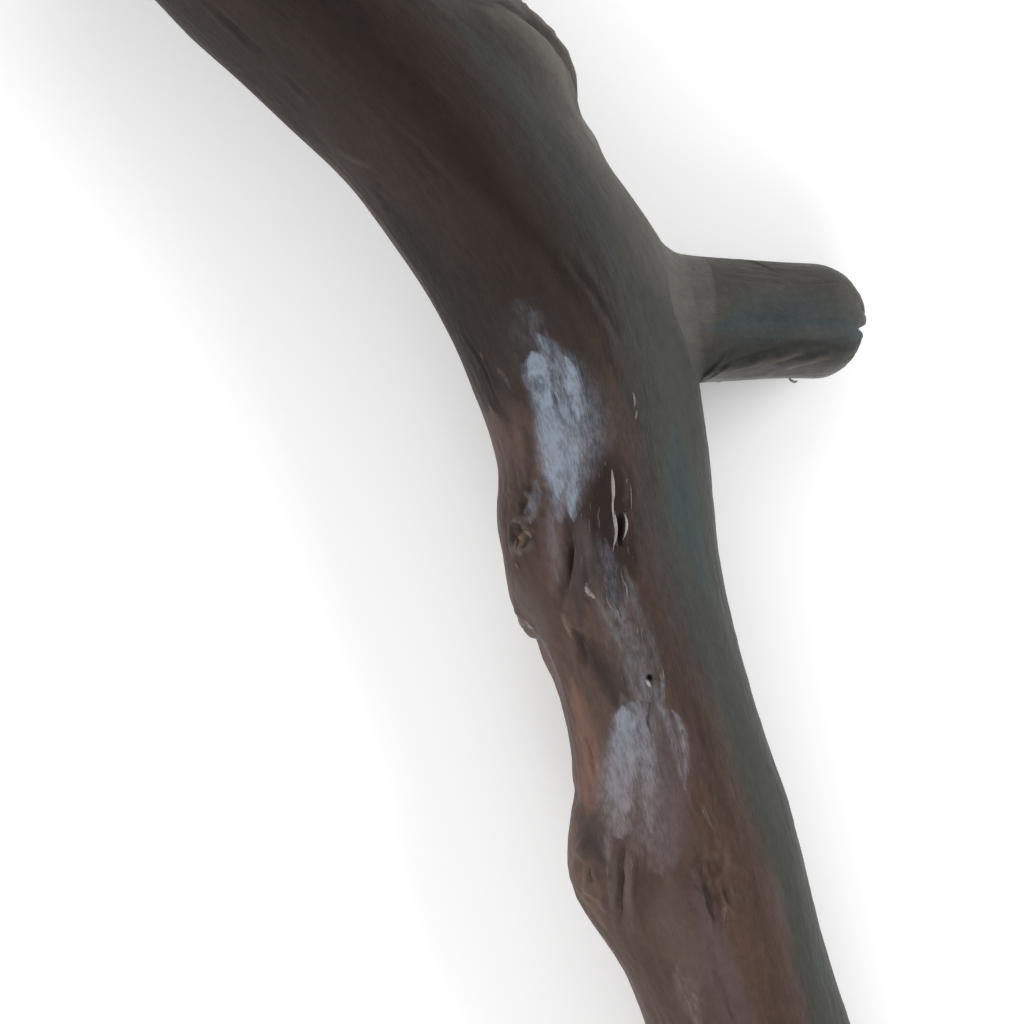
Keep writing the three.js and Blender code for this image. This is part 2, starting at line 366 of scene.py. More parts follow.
def carved_relief(at, turn):
    """Grooves, ridges, eyes, crusts, the ledge under the first burl and the beetle's exit hole:
    bells across the lines that they follow, or round their centres."""
    place = grain_place(at, turn, FLANK_RADIUS)
    wobble = soft_noise(place / [2.6, 2.6, 3.6], 14)
    grains = soft_noise(place / [1.15, 1.15, 1.6], 15)
    bent = turn + 1.3 * wobble
    rise = 0
    for deep, wide, course in limb_furrows:
        beside, fade = along_course(at, bent, course)
        off = beside / wide
        rise = rise - deep * fade * np.exp(-off ** 2)
        rise = rise + LIP * abs(deep) * fade * np.exp(-(np.abs(off) - 2) ** 2)
    for centre, size, high in limb_eyes:
        rise = rise + high * eye(at, turn, centre, size, wobble)
    for centre, long, broad, deep in limb_hollows:
        rise = rise - deep * bell(at, turn, centre, long, broad)
    for centre, long, broad, deep in limb_crusts:
        rise = rise + deep * (grains - 0.2 + 0.6 * wobble) * bell(at, turn, centre, long, broad)
    ledge_at = ledge_edge + 0.2 * between(turn, ledge_turn + 2) + 1.4 * wobble
    ledge = np.exp(-((between(turn, ledge_turn) / 20) ** 2)) * np.exp(-(((at - ledge_edge + 5) / 9) ** 2))
    rise = rise + ledge_high * ledge / (1 + np.exp((at - ledge_at) / 0.35))
    hole = np.hypot(at - hole_at, np.radians(between(turn, hole_turn)) * FLANK_RADIUS)
    rise = rise - hole_deep * np.exp(-((hole / hole_radius) ** 4))
    return rise + 0.2 * np.exp(-(((hole - 1.6) / 0.6) ** 2))


def bark_relief(at, turn):
    """Lumps and long fibres all over the bark: three sizes of noise stretched along the grain."""
    place = grain_place(at, turn, FLANK_RADIUS)
    lumps = 0.4 * soft_noise(place / [13, 13, 24], 11) + 0.17 * soft_noise(place / [5, 5, 12], 12)
    rough = 0.35 + 0.65 * window(at, 195, 900, 12)
    fibres = soft_noise(place / [1.5, 1.5, 7], 13) + 0.8 * soft_noise(place / [1.7, 1.7, 2.6], 16)
    return lumps + 0.09 * rough * fibres


def limb_radius(at, turn):
    """From the centre line to the bark: an ellipse's radius plus all the reliefs."""
    wide, high = np.moveaxis(on_spine(spine_size, at), -1, 0)
    angle = np.radians(turn)
    ellipse = wide * high / np.hypot(high * np.sin(angle), wide * np.cos(angle))
    return ellipse + smooth_relief(at, turn, ellipse) + bark_relief(at, turn) + carved_relief(at, turn)


def limb_point(at, turn, radius):
    """The point at a radius from the centre line, along the section's own up and side."""
    angle = np.radians(turn)[..., None]
    outward = on_spine(spine_side, at) * np.sin(angle) + on_spine(spine_up, at) * np.cos(angle)
    return on_spine(spine_centre, at) + outward * np.asarray(radius)[..., None]


def pressed(points):
    """What would lie below the ground is pressed flat on it."""
    return np.concatenate([points[..., :2], np.maximum(points[..., 2:], 0)], axis=-1)


def spread_out(low, high, count, density):
    """Values from low to high whose spacing is the inverse of a density, by its running sum."""
    fine = np.linspace(low, high, 4000)
    total = np.append(0, np.cumsum(density((fine[1:] + fine[:-1]) / 2)))
    return np.interp(np.linspace(0, total[-1], count), total, fine)


# Rows and columns lie closest where the bark has its eyes, cracks and slivers.
LIMB_ROWS, LIMB_SIDES = 505, 176
limb_rows = spread_out(
    0.6,
    limb_length,
    LIMB_ROWS,
    lambda at: 1 + 0.7 * window(at, 85, 375, 5) + 2.4 * window(at, 186, 338, 4),
)
limb_turns = spread_out(
    -180,
    180,
    LIMB_SIDES + 1,
    lambda turn: 1 + 1.0 * window(turn, -105, 95, 6) + 2.0 * window(turn, -78, 14, 4),
)[:-1]


def rings_to_faces(rings, around):
    """Four-cornered faces between neighbouring rings, and fans to a pole before the first ring
    and another after the last. The poles are the two points after all the rings."""
    ring = np.arange(around)
    after = np.roll(ring, -1)
    here = (np.arange(rings - 1) * around)[:, None]
    quads = np.stack([here + ring, here + ring + around, here + after + around, here + after], -1)
    last = (rings - 1) * around
    first_fan = np.stack([np.full(around, rings * around), ring, after], -1)
    last_fan = np.stack([np.full(around, rings * around + 1), last + after, last + ring], -1)
    return quads.reshape(-1, 4), first_fan, last_fan


def closed_mesh(name, points, quads, triangles, values, vectors):
    """A smooth mesh object from arrays in millimetres, with a number or a vector at each point
    for every named attribute."""
    mesh = bpy.data.meshes.new(name)
    mesh.vertices.add(len(points))
    mesh.vertices.foreach_set("co", (points * MM).astype(np.float32).ravel())
    corners = np.concatenate([quads.ravel(), triangles.ravel()])
    sizes = np.append(np.full(len(quads), 4), np.full(len(triangles), 3))
    mesh.loops.add(len(corners))
    mesh.loops.foreach_set("vertex_index", corners.astype(np.int32))
    mesh.polygons.add(len(sizes))
    starts = np.append(0, np.cumsum(sizes)[:-1])
    mesh.polygons.foreach_set("loop_start", starts.astype(np.int32))
    mesh.update(calc_edges=True)
    mesh.polygons.foreach_set("use_smooth", np.ones(len(sizes), bool))
    for key, value in values.items():
        layer = mesh.attributes.new(key, "FLOAT", "POINT")
        layer.data.foreach_set("value", np.asarray(value, np.float32).ravel())
    for key, value in vectors.items():
        layer = mesh.attributes.new(key, "FLOAT_VECTOR", "POINT")
        layer.data.foreach_set("vector", np.asarray(value, np.float32).ravel())
    mesh.validate()
    piece = bpy.data.objects.new(name, mesh)
    bpy.context.scene.collection.objects.link(piece)
    return piece


# The bark from the sawn rim to the snapped rim.
bark_at, bark_turn = np.meshgrid(limb_rows, limb_turns, indexing="ij")
bark_radius = limb_radius(bark_at, bark_turn)
bark_points = limb_point(bark_at, bark_turn, bark_radius)

# The sawn face: rings that close in on the pith, with a worn rim and drying checks.
SAWN_RINGS = 30
SAW_MARK, CHECK_DEPTH = 0.07, 1.4
# Drying checks: bearing, and how far out they reach as a share of the radius.
butt_checks = [(12, 0.85), (70, 0.4), (148, 0.95), (178, 0.45), (246, 0.75), (334, 0.5)]


def sawn_depth(turn, share):
    """How far the sawn face lies behind the cut: checks as narrow grooves that run out from the
    pith, and faint saw marks as a sine wave across the face."""
    depth = SAW_MARK * np.sin(share * 60 * np.cos(np.radians(turn - 35)))
    for bearing, reach in butt_checks:
        off = between(turn, bearing) / (2 + 3 * (1 - share))
        depth = depth + CHECK_DEPTH * np.exp(-off ** 2) * window(share, 0.06, reach, 0.05)
    return np.maximum(depth, 0)


sawn_share = np.linspace(0, 1, SAWN_RINGS + 1)[1:, None] * np.ones(LIMB_SIDES)
sawn_turn = np.broadcast_to(limb_turns, sawn_share.shape)
sawn_radius = bark_radius[0] * sawn_share - 0.5 * sawn_share ** 12
sawn_points = limb_point(0 * sawn_radius, sawn_turn, sawn_radius)
sawn_points = sawn_points + spine_ahead[0] * sawn_depth(sawn_turn, sawn_share)[..., None]

# The snapped face: the same slant and steps as the solid, and torn fibres that stand on them.
TORN_RINGS = 28
tear_slant, tear_toward, tear_step = 7, 150, 3.2
tear_steps = [(3, 20), (5, 75), (9, 10)]  # lobes round the break, starting angle


def torn_height(turn, share):
    """How far the break stands out along the limb: a slant across it, lobes round it, and torn
    fibres whose noise is fine across the grain."""
    lobes = np.mean([np.cos(np.radians(n * turn + start)) for n, start in tear_steps], axis=0)
    slant = tear_slant * share * np.cos(np.radians(between(turn, tear_toward)))
    across = grain_place(0 * turn, turn, 22 * share)
    bundles = 1 - 2 * np.abs(soft_noise(across / [5, 2.4, 1], 21))
    fibres = 2.6 * np.maximum(bundles, -0.4) + 1.5 * soft_noise(across / [1.5, 1.0, 1], 22)
    return slant + tear_step * lobes * share + fibres * (1 - share ** 8)


torn_share = np.linspace(1, 0, TORN_RINGS + 1)[:-1, None] * np.ones(LIMB_SIDES)
torn_turn = np.broadcast_to(limb_turns, torn_share.shape)
torn_radius = bark_radius[-1] * torn_share
torn_out = torn_height(torn_turn, torn_share)
torn_points = limb_point(0 * torn_radius + limb_length, torn_turn, torn_radius)
torn_points = torn_points + spine_ahead[-1] * torn_out[..., None]

limb_rings = np.concatenate([sawn_points, bark_points, torn_points])
limb_poles = np.array([spine_centre[0], spine_centre[-1] + spine_ahead[-1] * 2])
limb_points = pressed(np.concatenate([limb_rings.reshape(-1, 3), limb_poles]))
limb_quads, limb_first, limb_last = rings_to_faces(len(limb_rings), LIMB_SIDES)


def dye(red, green, blue):
    """A colour as a shader wants it, from the 0 to 255 values of a paint chart: light is about
    the 2.4th power of the chart's value."""
    chart = np.array([red, green, blue]) / 255
    return np.where(chart <= 0.04045, chart / 12.92, ((chart + 0.055) / 1.055) ** 2.4)


NARROWEST_EDGE = 0.4


def streak(at, turn, course, edge=1.0):
    """A tapering patch along the grain, from (distance, turn, half-width) rows: 1 on its middle
    line, falling to 0 at its half-width in a smooth step that takes the edge's share of it."""
    line_at, line_turn, line_width = np.array(course, float).T
    middle = np.interp(at, line_at, line_turn)
    width = np.interp(at, line_at, line_width, left=0, right=0)
    off = np.abs(np.radians(between(turn, middle))) * FLANK_RADIUS
    fall = np.clip((width - off) / np.maximum(width * edge, NARROWEST_EDGE), 0, 1)
    return fall * fall * (3 - 2 * fall)


# The bark's dyes, which the washes also use for painted shade and painted highlights.
UMBER = dye(46, 37, 33)
HEART = dye(34, 25, 21)
# The darkest brown: the bark's own dark patches, and painted shade in grooves and hollows.
DEEP_BROWN_AND_GROOVE_SHADE = dye(26, 20, 17)
SLATE = dye(44, 44, 40)
PALE_SLATE = dye(68, 65, 60)
LIT_SLATE = dye(80, 76, 71)
MOSS_GREY = dye(49, 51, 48)
TEAL = dye(41, 53, 53)
TAN = dye(73, 58, 52)
CHESTNUT = dye(57, 44, 38)
RED_BROWN = dye(68, 50, 42)
RUST = dye(114, 83, 70)
OCHRE = dye(86, 66, 50)
PINK_GREY = dye(104, 86, 82)
ASH = dye(88, 83, 84)

BLUE_SLATE = dye(47, 50, 50)
PLUM = dye(54, 45, 45)
PLUM_LIT = dye(82, 71, 71)
MAUVE = dye(82, 70, 71)
EDGE_BROWN = dye(45, 42, 39)
BURL_TAN = dye(118, 96, 84)
ASH_BROWN = dye(62, 54, 52)

# Washes of colour, laid on in this order: dye, strength, (distance, turn, half-width) rows, and
# the share of the width that the edge fades over, where it isn't all of it.
limb_washes = [
    (TAN, 0.6, [(130, -125, 0), (215, -125, 75), (450, -125, 75)]),
    (TAN, 1.0, [(186, -70, 0), (202, -64, 16), (216, -50, 40), (240, -40, 48), (300, -30, 62),
        (450, -30, 70)], 0.5),
    (PALE_SLATE, 0.8, [(0, 85, 26), (60, 82, 26), (120, 80, 25), (150, 78, 22), (180, 76, 20),
        (196, 78, 0)], 0.9),
    # The dark band along the top: the bark's own dark colour, deepened by a painted dark reflection where
    # the top faces straight up.
    (HEART, 0.85, [(-20, -8, 16), (60, 2, 17), (95, 2, 16), (117, -2, 14), (135, -3, 12), (153, -3, 6),
        (172, 6, 3.4), (188, 12, 3), (205, 15, 0)]),
    (CHESTNUT, 0.95, [(196, 13, 0), (212, 8, 7), (235, 3, 8), (262, 9, 9), (290, 17, 8), (320, 22, 8),
        (350, 22, 8), (450, 20, 10)]),
    (PLUM_LIT, 0.7, [(272, -8, 0), (284, -8, 9), (296, -10, 10), (308, -16, 9), (318, -20, 0)]),
    (RED_BROWN, 0.7, [(296, 8, 0), (315, 8, 8), (345, 6, 14), (450, 4, 18)], 0.9),
    (DEEP_BROWN_AND_GROOVE_SHADE, 0.9, [(128, -60, 0), (148, -62, 12), (164, -64, 15), (178, -66, 18), (188, -66, 17),
        (197, -62, 12), (208, -52, 0)]),
    (DEEP_BROWN_AND_GROOVE_SHADE, 0.5, [(204, -42, 0), (209, -41, 3), (216, -46, 3), (222, -48, 0)], 0.9),
    (OCHRE, 0.12, [(178, 10, 0), (190, 9, 4), (203, 9, 5), (214, 9, 4), (224, 9, 0)]),
    (TAN, 0.9, [(197, -66, 0), (205, -62, 8), (215, -60, 9), (224, -62, 0)], 0.8),
    (DEEP_BROWN_AND_GROOVE_SHADE, 0.6, [(219, -52, 0), (223, -50, 4), (228, -52, 4), (232, -60, 0)], 0.9),
    (HEART, 0.9, [(212, -5, 0), (220, -6, 7), (230, -8, 11), (238, -8, 11), (246, -8, 8), (254, -12, 0)]),
    (HEART, 0.5, [(214, 5, 0), (224, 5, 4.4), (235, 4, 5), (245, 4, 0)]),
    (ASH_BROWN, 0.4, [(196, 4, 0), (206, 7, 7), (216, 9, 7), (226, 9, 4), (240, 9, 4), (250, 10, 0)]),
    (EDGE_BROWN, 0.5, [(214, 22, 0), (228, 20, 6), (242, 18, 7), (256, 21, 6), (270, 26, 5),
        (284, 29, 0)]),
    (CHESTNUT, 0.4, [(224, -72, 0), (236, -66, 16), (250, -60, 14), (264, -56, 0)]),
    # This wash and the next follow furrows: painted shade in the grooves.
    (DEEP_BROWN_AND_GROOVE_SHADE, 0.4, [(227, -27, 0), (232, -26, 3), (238, -29.5, 3.2), (242, -33, 3.2), (246, -40, 2.6),
        (251, -48, 0)]),
    (DEEP_BROWN_AND_GROOVE_SHADE, 0.4, [(236, -28.5, 0), (240, -31, 1.2), (244, -36, 1.2), (247, -41, 0)]),
    (UMBER, 0.4, [(212, -58, 0), (219, -57, 8), (226, -56, 14), (234, -58, 12), (241, -62, 0)]),
    (PINK_GREY, 0.25, [(226, -36, 0), (231, -38, 5), (240, -42, 5), (248, -50, 0)]),
    (PLUM, 0.75, [(226, -20, 0), (232, -20, 6), (240, -22, 7), (247, -30, 6), (256, -36, 0)]),
    # Tan on the knot's lumps: painted highlight.
    (BURL_TAN, 0.7, [(229.6, -56, 0), (232, -55, 1.8), (234, -59, 1.8), (238, -60, 0)]),
    # This wash and the next two lie in the hollows round the knot's eye: painted shade.
    (DEEP_BROWN_AND_GROOVE_SHADE, 0.55, [(228.6, -62, 0), (231, -64, 1.1), (234, -64, 1.1), (236.6, -61, 0)]),
    (DEEP_BROWN_AND_GROOVE_SHADE, 0.55, [(230.6, -50, 0), (233.4, -51, 1.1), (236, -55, 1.1), (238, -59, 0)]),
    (DEEP_BROWN_AND_GROOVE_SHADE, 0.5, [(220.6, -45, 0), (222.6, -40, 2.0), (226, -34.6, 1.8), (229.6, -34, 0)]),
    (ASH, 0.5, [(221.6, -50, 0), (224.6, -49, 2.6), (227.6, -48, 2.2), (229.6, -47, 0)]),
    # This wash lies in the broad hollow and the next in the groove beside it: painted shade.
    (HEART, 0.7, [(254, -44, 0), (260, -36, 6.5), (267, -31, 7), (274, -28, 4), (279, -27, 0)]),
    (DEEP_BROWN_AND_GROOVE_SHADE, 0.35, [(255, -40, 0), (261, -40, 2.6), (266, -43, 0)]),
    (HEART, 0.5, [(266, -20, 0), (271, -20, 3), (276, -22, 3), (280, -24, 0)]),
    (RUST, 0.55, [(251, -45, 0), (254, -44, 2), (258, -45, 0)], 0.9),
    (RUST, 0.58, [(266, -56, 0), (273, -58, 5), (281, -60, 8.4), (290, -61, 12), (298, -66, 11),
        (306, -73, 0)]),
    # Tan along the lower burl's left flank: painted highlight.
    (BURL_TAN, 0.4, [(300, -84, 0), (305, -78, 7), (312, -72, 8), (320, -68, 7), (330, -66, 0)]),
    (PINK_GREY, 0.6, [(283, -52, 0), (287, -53, 2), (292, -54, 0)], 0.9),
    (ASH_BROWN, 0.75, [(298, -70, 0), (302, -69, 7), (306, -65, 7.5), (310, -57, 4.5), (314, -53, 0)]),
    # This wash lies in a hollow between the lumps and the next follows a furrow: painted shade.
    (DEEP_BROWN_AND_GROOVE_SHADE, 0.6, [(313, -65, 0), (315, -63.5, 1.3), (317, -61, 0)]),
    (DEEP_BROWN_AND_GROOVE_SHADE, 0.7, [(308, -41.5, 0), (312, -43.6, 0.8), (319, -48.2, 0.9), (327, -54.5, 0)], 0.9),
    # Pale along the ridge beside the groove just above: painted highlight.
    (PINK_GREY, 0.45, [(309, -39, 0), (314, -42, 1.4), (322, -46, 1.3), (332, -50, 0)], 0.9),
    (CHESTNUT, 0.45, [(309, -31, 0), (315, -34, 3), (324, -40, 3), (331, -44, 0)]),
    (PINK_GREY, 0.28, [(316, -22, 0), (326, -24, 9), (336, -24, 9), (348, -22, 0)]),
    # Darker along the left rim of the lower burl, to hold down its sheen: painted shade.
    (UMBER, 0.35, [(316, -82, 0), (326, -82, 9), (338, -82, 9), (350, -82, 0)]),
    (CHESTNUT, 0.6, [(312, -5, 0), (320, -4, 4), (328, -4, 4), (337, -5, 0)]),
    (CHESTNUT, 0.3, [(328, -58, 0), (336, -55, 8), (344, -50, 8), (350, -48, 0)]),
    (TEAL, 0.7, [(212, 40, 0), (224, 40, 7), (236, 42, 8), (247, 46, 5), (256, 46, 0)]),
    # A blue-grey band right of the dark top: painted highlight.
    (BLUE_SLATE, 0.6, [(104, 40, 0), (126, 38, 8), (148, 33, 9), (168, 33, 7), (182, 36, 0)]),
    # This wash and the next follow furrows: painted shade in the grooves.
    (HEART, 0.5, [(170, 13, 0), (178, 14, 2.4), (185, 17, 2.4), (193, 22, 0)]),
    (DEEP_BROWN_AND_GROOVE_SHADE, 0.6, [(114, 60, 0), (121, 64, 2.6), (127, 69, 3), (133, 73, 3.6), (138, 78, 3), (142, 84, 0)]),
    (LIT_SLATE, 0.6, [(112, 52, 0), (121, 56, 2.6), (127, 59, 3), (133, 62, 3), (140, 66, 3),
        (147, 70, 0)]),
    # Along a furrow: painted shade in the groove.
    (DEEP_BROWN_AND_GROOVE_SHADE, 0.5, [(68, -49, 0), (76, -49, 1.6), (82, -49, 1.8), (86, -49, 0)]),
    (UMBER, 0.5, [(110, -66, 0), (118, -60, 3), (126, -50, 2.4), (130, -46, 0)]),
    (DEEP_BROWN_AND_GROOVE_SHADE, 0.35, [(-5, -80, 16), (60, -78, 16), (104, -78, 12), (120, -78, 0)]),
    (TEAL, 0.3, [(340, 60, 0), (352, 62, 9), (368, 62, 0)]),
    (MAUVE, 0.6, [(316, -10, 0), (332, -8, 5), (346, -8, 7), (362, -6, 8), (410, -6, 8), (450, -6, 0)]),
    # This wash and the next two follow furrows: painted shade in the grooves.
    (DEEP_BROWN_AND_GROOVE_SHADE, 0.55, [(320, -6, 0), (323, -5, 0.8), (327, -5.2, 0.8), (332, -5, 0)], 0.9),
    (DEEP_BROWN_AND_GROOVE_SHADE, 0.4, [(320.6, -10, 0), (322.6, -8, 0.8), (325, -6, 0)], 0.9),
    (DEEP_BROWN_AND_GROOVE_SHADE, 0.25, [(338, -11.4, 0), (346, -11, 0.8), (358, -10, 0.8), (372, -9, 0)]),
    # Pale on the crotch beside the side stub: painted highlight.
    (PALE_SLATE, 0.55, [(168, 74, 0), (178, 66, 6), (190, 66, 7), (204, 72, 0)]),
    # This wash and the next light the left rim: painted rim highlights.
    (PINK_GREY, 0.45, [(250, -79, 0), (253, -78, 3), (260, -74, 2.4), (270, -72, 2), (276, -74, 0)], 0.9),
    (PINK_GREY, 0.12, [(196, -76, 0), (215, -76, 3), (240, -80, 3), (300, -80, 4), (380, -76, 3),
        (400, -76, 0)]),
]

# The slate flank's upper edge as (distance, turn), and how softly it ends as (distance, degrees).
slate_edge = [(60, 42), (90, 42), (123, 40), (160, 24), (183, 17), (206, 17), (230, 11), (255, 16.5),
              (285, 26), (318, 32), (333, 37), (357, 34)]
slate_blur = [(100, 7), (200, 6), (260, 4), (300, 2.6), (360, 2.2)]
WASHES_UNDER_SLATE = 2  # this many of the washes lie under the slate of the right flank

# Sun-whitened wood and pale flakes, whose streaks also paint the sky's reflection: strength, rows
# and edge as in the washes.
bleach_and_reflection_streaks = [
    (0.95, [(188, -23, 0), (190, -23, 4.6), (193, -23.5, 5.6), (197, -23.5, 6), (201, -23.5, 6.6),
        (206, -24, 7.6), (213, -27, 8.4), (218, -29, 7.4), (222, -30, 5), (226, -31, 0)]),
    (0.45, [(213, -27, 0), (219, -29, 8.4), (225, -31, 6.6), (229, -32, 4), (232, -32, 0)]),
    (0.8, [(191.5, -8, 0), (194.5, -8, 3.6), (198, -8.5, 4.8), (204, -11.5, 6.5), (212, -15.5, 7),
        (219, -19.5, 6), (226, -23, 3), (231, -26, 0)]),
    (0.46, [(184, -16, 0), (193, -14.5, 10), (204, -13.5, 15), (213, -15, 15), (219, -18, 10),
        (225, -22, 6), (232, -25, 0)]),
    (0.18, [(234, -14, 0), (243, -13, 7), (254, -13, 9), (268, -11, 11), (282, -12, 9), (292, -16, 0)]),
    (0.3, [(272, -22, 0), (284, -22, 12), (298, -26, 16), (308, -27, 15), (314, -26, 10), (318, -26, 0)]),
    (0.24, [(178.5, -16, 0), (180, -16.5, 3.6), (182.5, -17, 5), (184.5, -18, 3.4), (187, -19, 0)]),
    (0.17, [(175, -19, 0), (177, -20, 6), (181, -22, 9.5), (186, -21, 12), (192, -18, 12), (196, -18, 9),
        (199, -18, 0)]),
    (0.3, [(143, 76, 0), (146, 75, 3), (150, 73, 2.6), (154, 73, 0)]),
    (0.24, [(184, -12, 0), (188, -13.5, 4), (193, -12, 3), (197, -10, 0)]),
    (0.24, [(188, -46, 0), (190, -45, 1.4), (193, -43.5, 1.2), (197, -41.5, 0)]),
    (0.2, [(182.5, -54, 0), (184, -53, 1.6), (186, -52, 0)]),
    (0.34, [(219, -43, 0), (223, -45, 4), (227, -48, 4.4), (231, -52, 0)]),
    (0.24, [(224, -36, 0), (231, -38, 4), (238, -40, 4), (246, -43, 0)]),
    (0.9, [(245.6, -24, 0), (247, -24, 1.1), (248.4, -22.5, 1.0), (249.4, -21, 0)], 0.6),
    (0.26, [(236, -9, 0), (243, -10, 5), (250, -11, 7), (256, -10, 8), (262, -9, 9), (269, -8, 9),
        (276, -9, 6), (282, -12, 0)]),
    (0.3, [(248, -22, 0), (252, -18, 2.4), (258, -15, 2.6), (266, -12, 0)]),
    (0.24, [(242, -2, 0), (249, -1, 3), (256, 0, 3), (266, 2, 2.4), (273, 3, 0)]),
    (0.5, [(251, -12, 0), (253, -11.5, 0.9), (255, -10, 1.2), (257.5, -10, 0)], 0.6),
    (0.45, [(275, -19, 0), (277.5, -19, 9), (282, -20, 11), (288, -23, 11), (294, -26, 0)]),
    (0.9, [(275.5, -23, 0), (278, -24, 5), (281, -25.5, 8), (285, -28, 10), (290, -33, 12),
        (295, -38, 11), (300, -39, 6), (304, -40, 0)]),
    (0.55, [(284, -35, 0), (291, -39, 13), (298, -42, 12.4), (303, -42, 10), (306, -42, 6),
        (308, -43, 0)]),
    (0.27, [(296, -28, 0), (301, -31, 14), (306, -33, 15), (310, -33, 10), (312, -33, 0)]),
    (0.32, [(262, -12, 0), (266, -11, 5), (272, -10, 7), (278, -12, 5), (283, -15, 0)]),
    (0.55, [(275, -15, 0), (278, -15, 4.4), (282, -16, 5.4), (290, -19, 7), (297, -22, 8), (303, -24, 6),
        (308, -26, 0)]),
    (0.5, [(279, 2.5, 0), (282, 4, 1.4), (286, 5, 2.2), (290.5, 4, 2.4), (295, 1, 1.8), (301, -3, 0)]),
    (0.4, [(268, -2, 0), (276, -3, 2.4), (284, -2, 2.4), (292, -1, 2), (300, -2.5, 0)]),
    (0.6, [(269, 3, 0), (271, 2.6, 0.8), (274, 1, 0.8), (277, -0.5, 0.8), (279, -2, 0)], 0.7),
    (0.42, [(301, -50, 0), (306, -50, 3), (311, -51, 2.6), (316, -53, 0)]),
    (0.4, [(339, -32, 0), (342, -32, 4.5), (346, -31, 6.5), (350, -30, 6), (354, -29, 3), (357, -28, 0)]),
    (0.12, [(320, -32, 0), (328, -34, 5), (336, -34, 0)]),
    (0.36, [(303, 5.8, 0), (306, 6.3, 0.5), (309, 7.2, 0.55), (312, 7.5, 0)], 0.9),
    (0.4, [(325.5, 3, 0), (329, 2, 0.7), (333, -1, 0)], 0.9),
    # This streak and the next two lie along the left rim: painted rim highlights.
    (0.4, [(251.5, -82, 0), (252.8, -80, 1.6), (254, -74, 1.4), (255.4, -72, 0)], 0.9),
    (0.3, [(255, -78, 0), (258, -75, 1.5), (263, -71, 1.3), (269, -70, 0)]),
    (0.14, [(95, -86, 0), (105, -80, 2), (130, -76, 2.4), (160, -77, 2), (178, -80, 0)]),
]


def lay_washes(colour, at, turn, washes):
    """A dye with washes laid over it in their order: each moves it towards the wash's dye by the
    strength times the streak."""
    for tint, strength, *course in washes:
        colour = colour + strength * streak(at, turn, *course)[..., None] * (tint - colour)
    return colour


def limb_colour(at, turn):
    """The bark's dye at each point: umber, slate on the flank that turns from the weather, then
    each wash laid over the last, on places that a slow noise bends. Some washes paint shade into
    grooves and hollows, and highlights onto ridges, rims and the crotch."""
    place = grain_place(at, turn, FLANK_RADIUS)
    bend = soft_noise(place / [4, 4, 9], 31)
    sway = soft_noise(place / [9, 9, 20], 32)
    drift = turn + 1.6 * bend + 1.5 * sway
    colour = np.broadcast_to(UMBER, at.shape + (3,))
    slow = soft_noise(place / [17, 17, 34], 34)[..., None]
    edge = np.interp(at, *np.transpose(slate_edge))
    slate = window(turn + sway, edge, 176, np.interp(at, *np.transpose(slate_blur)))[..., None]
    colour = lay_washes(colour, at, drift, limb_washes[:WASHES_UNDER_SLATE])
    # Moss has greened the slate between the fork and the lower burl.
    flank = SLATE + window(at, 205, 320, 18)[..., None] * (MOSS_GREY - SLATE)
    colour = colour + slate * (flank - colour)
    colour = lay_washes(colour, at, drift, limb_washes[WASHES_UNDER_SLATE:])
    # The damp underside is stained more unevenly than the top.
    stain = 0.1 + 0.3 * window(np.abs(turn), 95, 400, 8)[..., None]
    return colour * (1 + stain * slow)


def limb_bleach_and_reflection(at, turn):
    """How pale each point is from bleach and a painted sky reflection: the strongest of the
    streaks, on slightly bent places.
    """
    place = grain_place(at, turn, FLANK_RADIUS)
    drift = turn + 1.2 * soft_noise(place / [2.5, 2.5, 6], 33)
    return np.maximum.reduce([
        strength * streak(at, drift, *course) for strength, *course in bleach_and_reflection_streaks
    ])


def with_caps(bark_value, sawn_value, torn_value, first_pole, last_pole):
    """One list for the whole limb: the sawn face, the bark, the snapped face and both poles."""
    width = bark_value.shape[2:]
    parts = [sawn_value, bark_value, torn_value]
    flat = [np.broadcast_to(part, part.shape[:2] + width).reshape((-1,) + width) for part in parts]
    return np.concatenate(flat + [[first_pole], [last_pole]])


carved = carved_relief(bark_at, bark_turn)
none_sawn, none_torn = 0 * sawn_radius, 0 * torn_radius
limb_values = {
    "bleach_and_reflection": with_caps(limb_bleach_and_reflection(bark_at, bark_turn), none_sawn, none_torn, 0, 0),
    "carved": with_caps(carved, none_sawn, none_torn, 0, 0),
    "warm": with_caps(window(bark_at, 292, 900, 12), none_sawn, none_torn, 0, 0),
    "share": with_caps(0 * bark_at + 1, sawn_share, torn_share, 0, 0),
}
limb_vectors = {
    "grain": with_caps(
        grain_place(bark_at, bark_turn, bark_radius),
        grain_place(none_sawn, sawn_turn, sawn_radius),
        grain_place(limb_length + torn_out, torn_turn, torn_radius),
        [0, 0, 0],
        [0, 0, limb_length],
    ),
    # The dye holds the bark's colours together with the washes' painted shade and highlights.
    "dye": with_caps(
        limb_colour(bark_at, bark_turn),
        np.broadcast_to(UMBER, sawn_radius.shape + (3,)),
        np.broadcast_to(UMBER, torn_radius.shape + (3,)),
        UMBER,
        UMBER,
    ),
}
limb = closed_mesh(
    "limb_wood",
    limb_points,
    limb_quads,
    np.concatenate([limb_first, limb_last]),
    limb_values,
    limb_vectors,
)


def wire(tree, node, inputs):
    """Sets a node's inputs to values, or links them to other nodes' outputs. An input is named by
    its label, or by an underscore and its number."""
    for key, value in inputs.items():
        socket = node.inputs[int(key[1:]) if key[0] == "_" else key]
        if isinstance(value, bpy.types.NodeSocket):
            tree.links.new(value, socket)
        else:
            socket.default_value = value


def add_node(tree, kind, settings=None, **inputs):
    """A node with its settings and its inputs."""
    node = tree.nodes.new(kind)
    for key, value in (settings or {}).items():
        setattr(node, key, value)
    wire(tree, node, inputs)
    return node


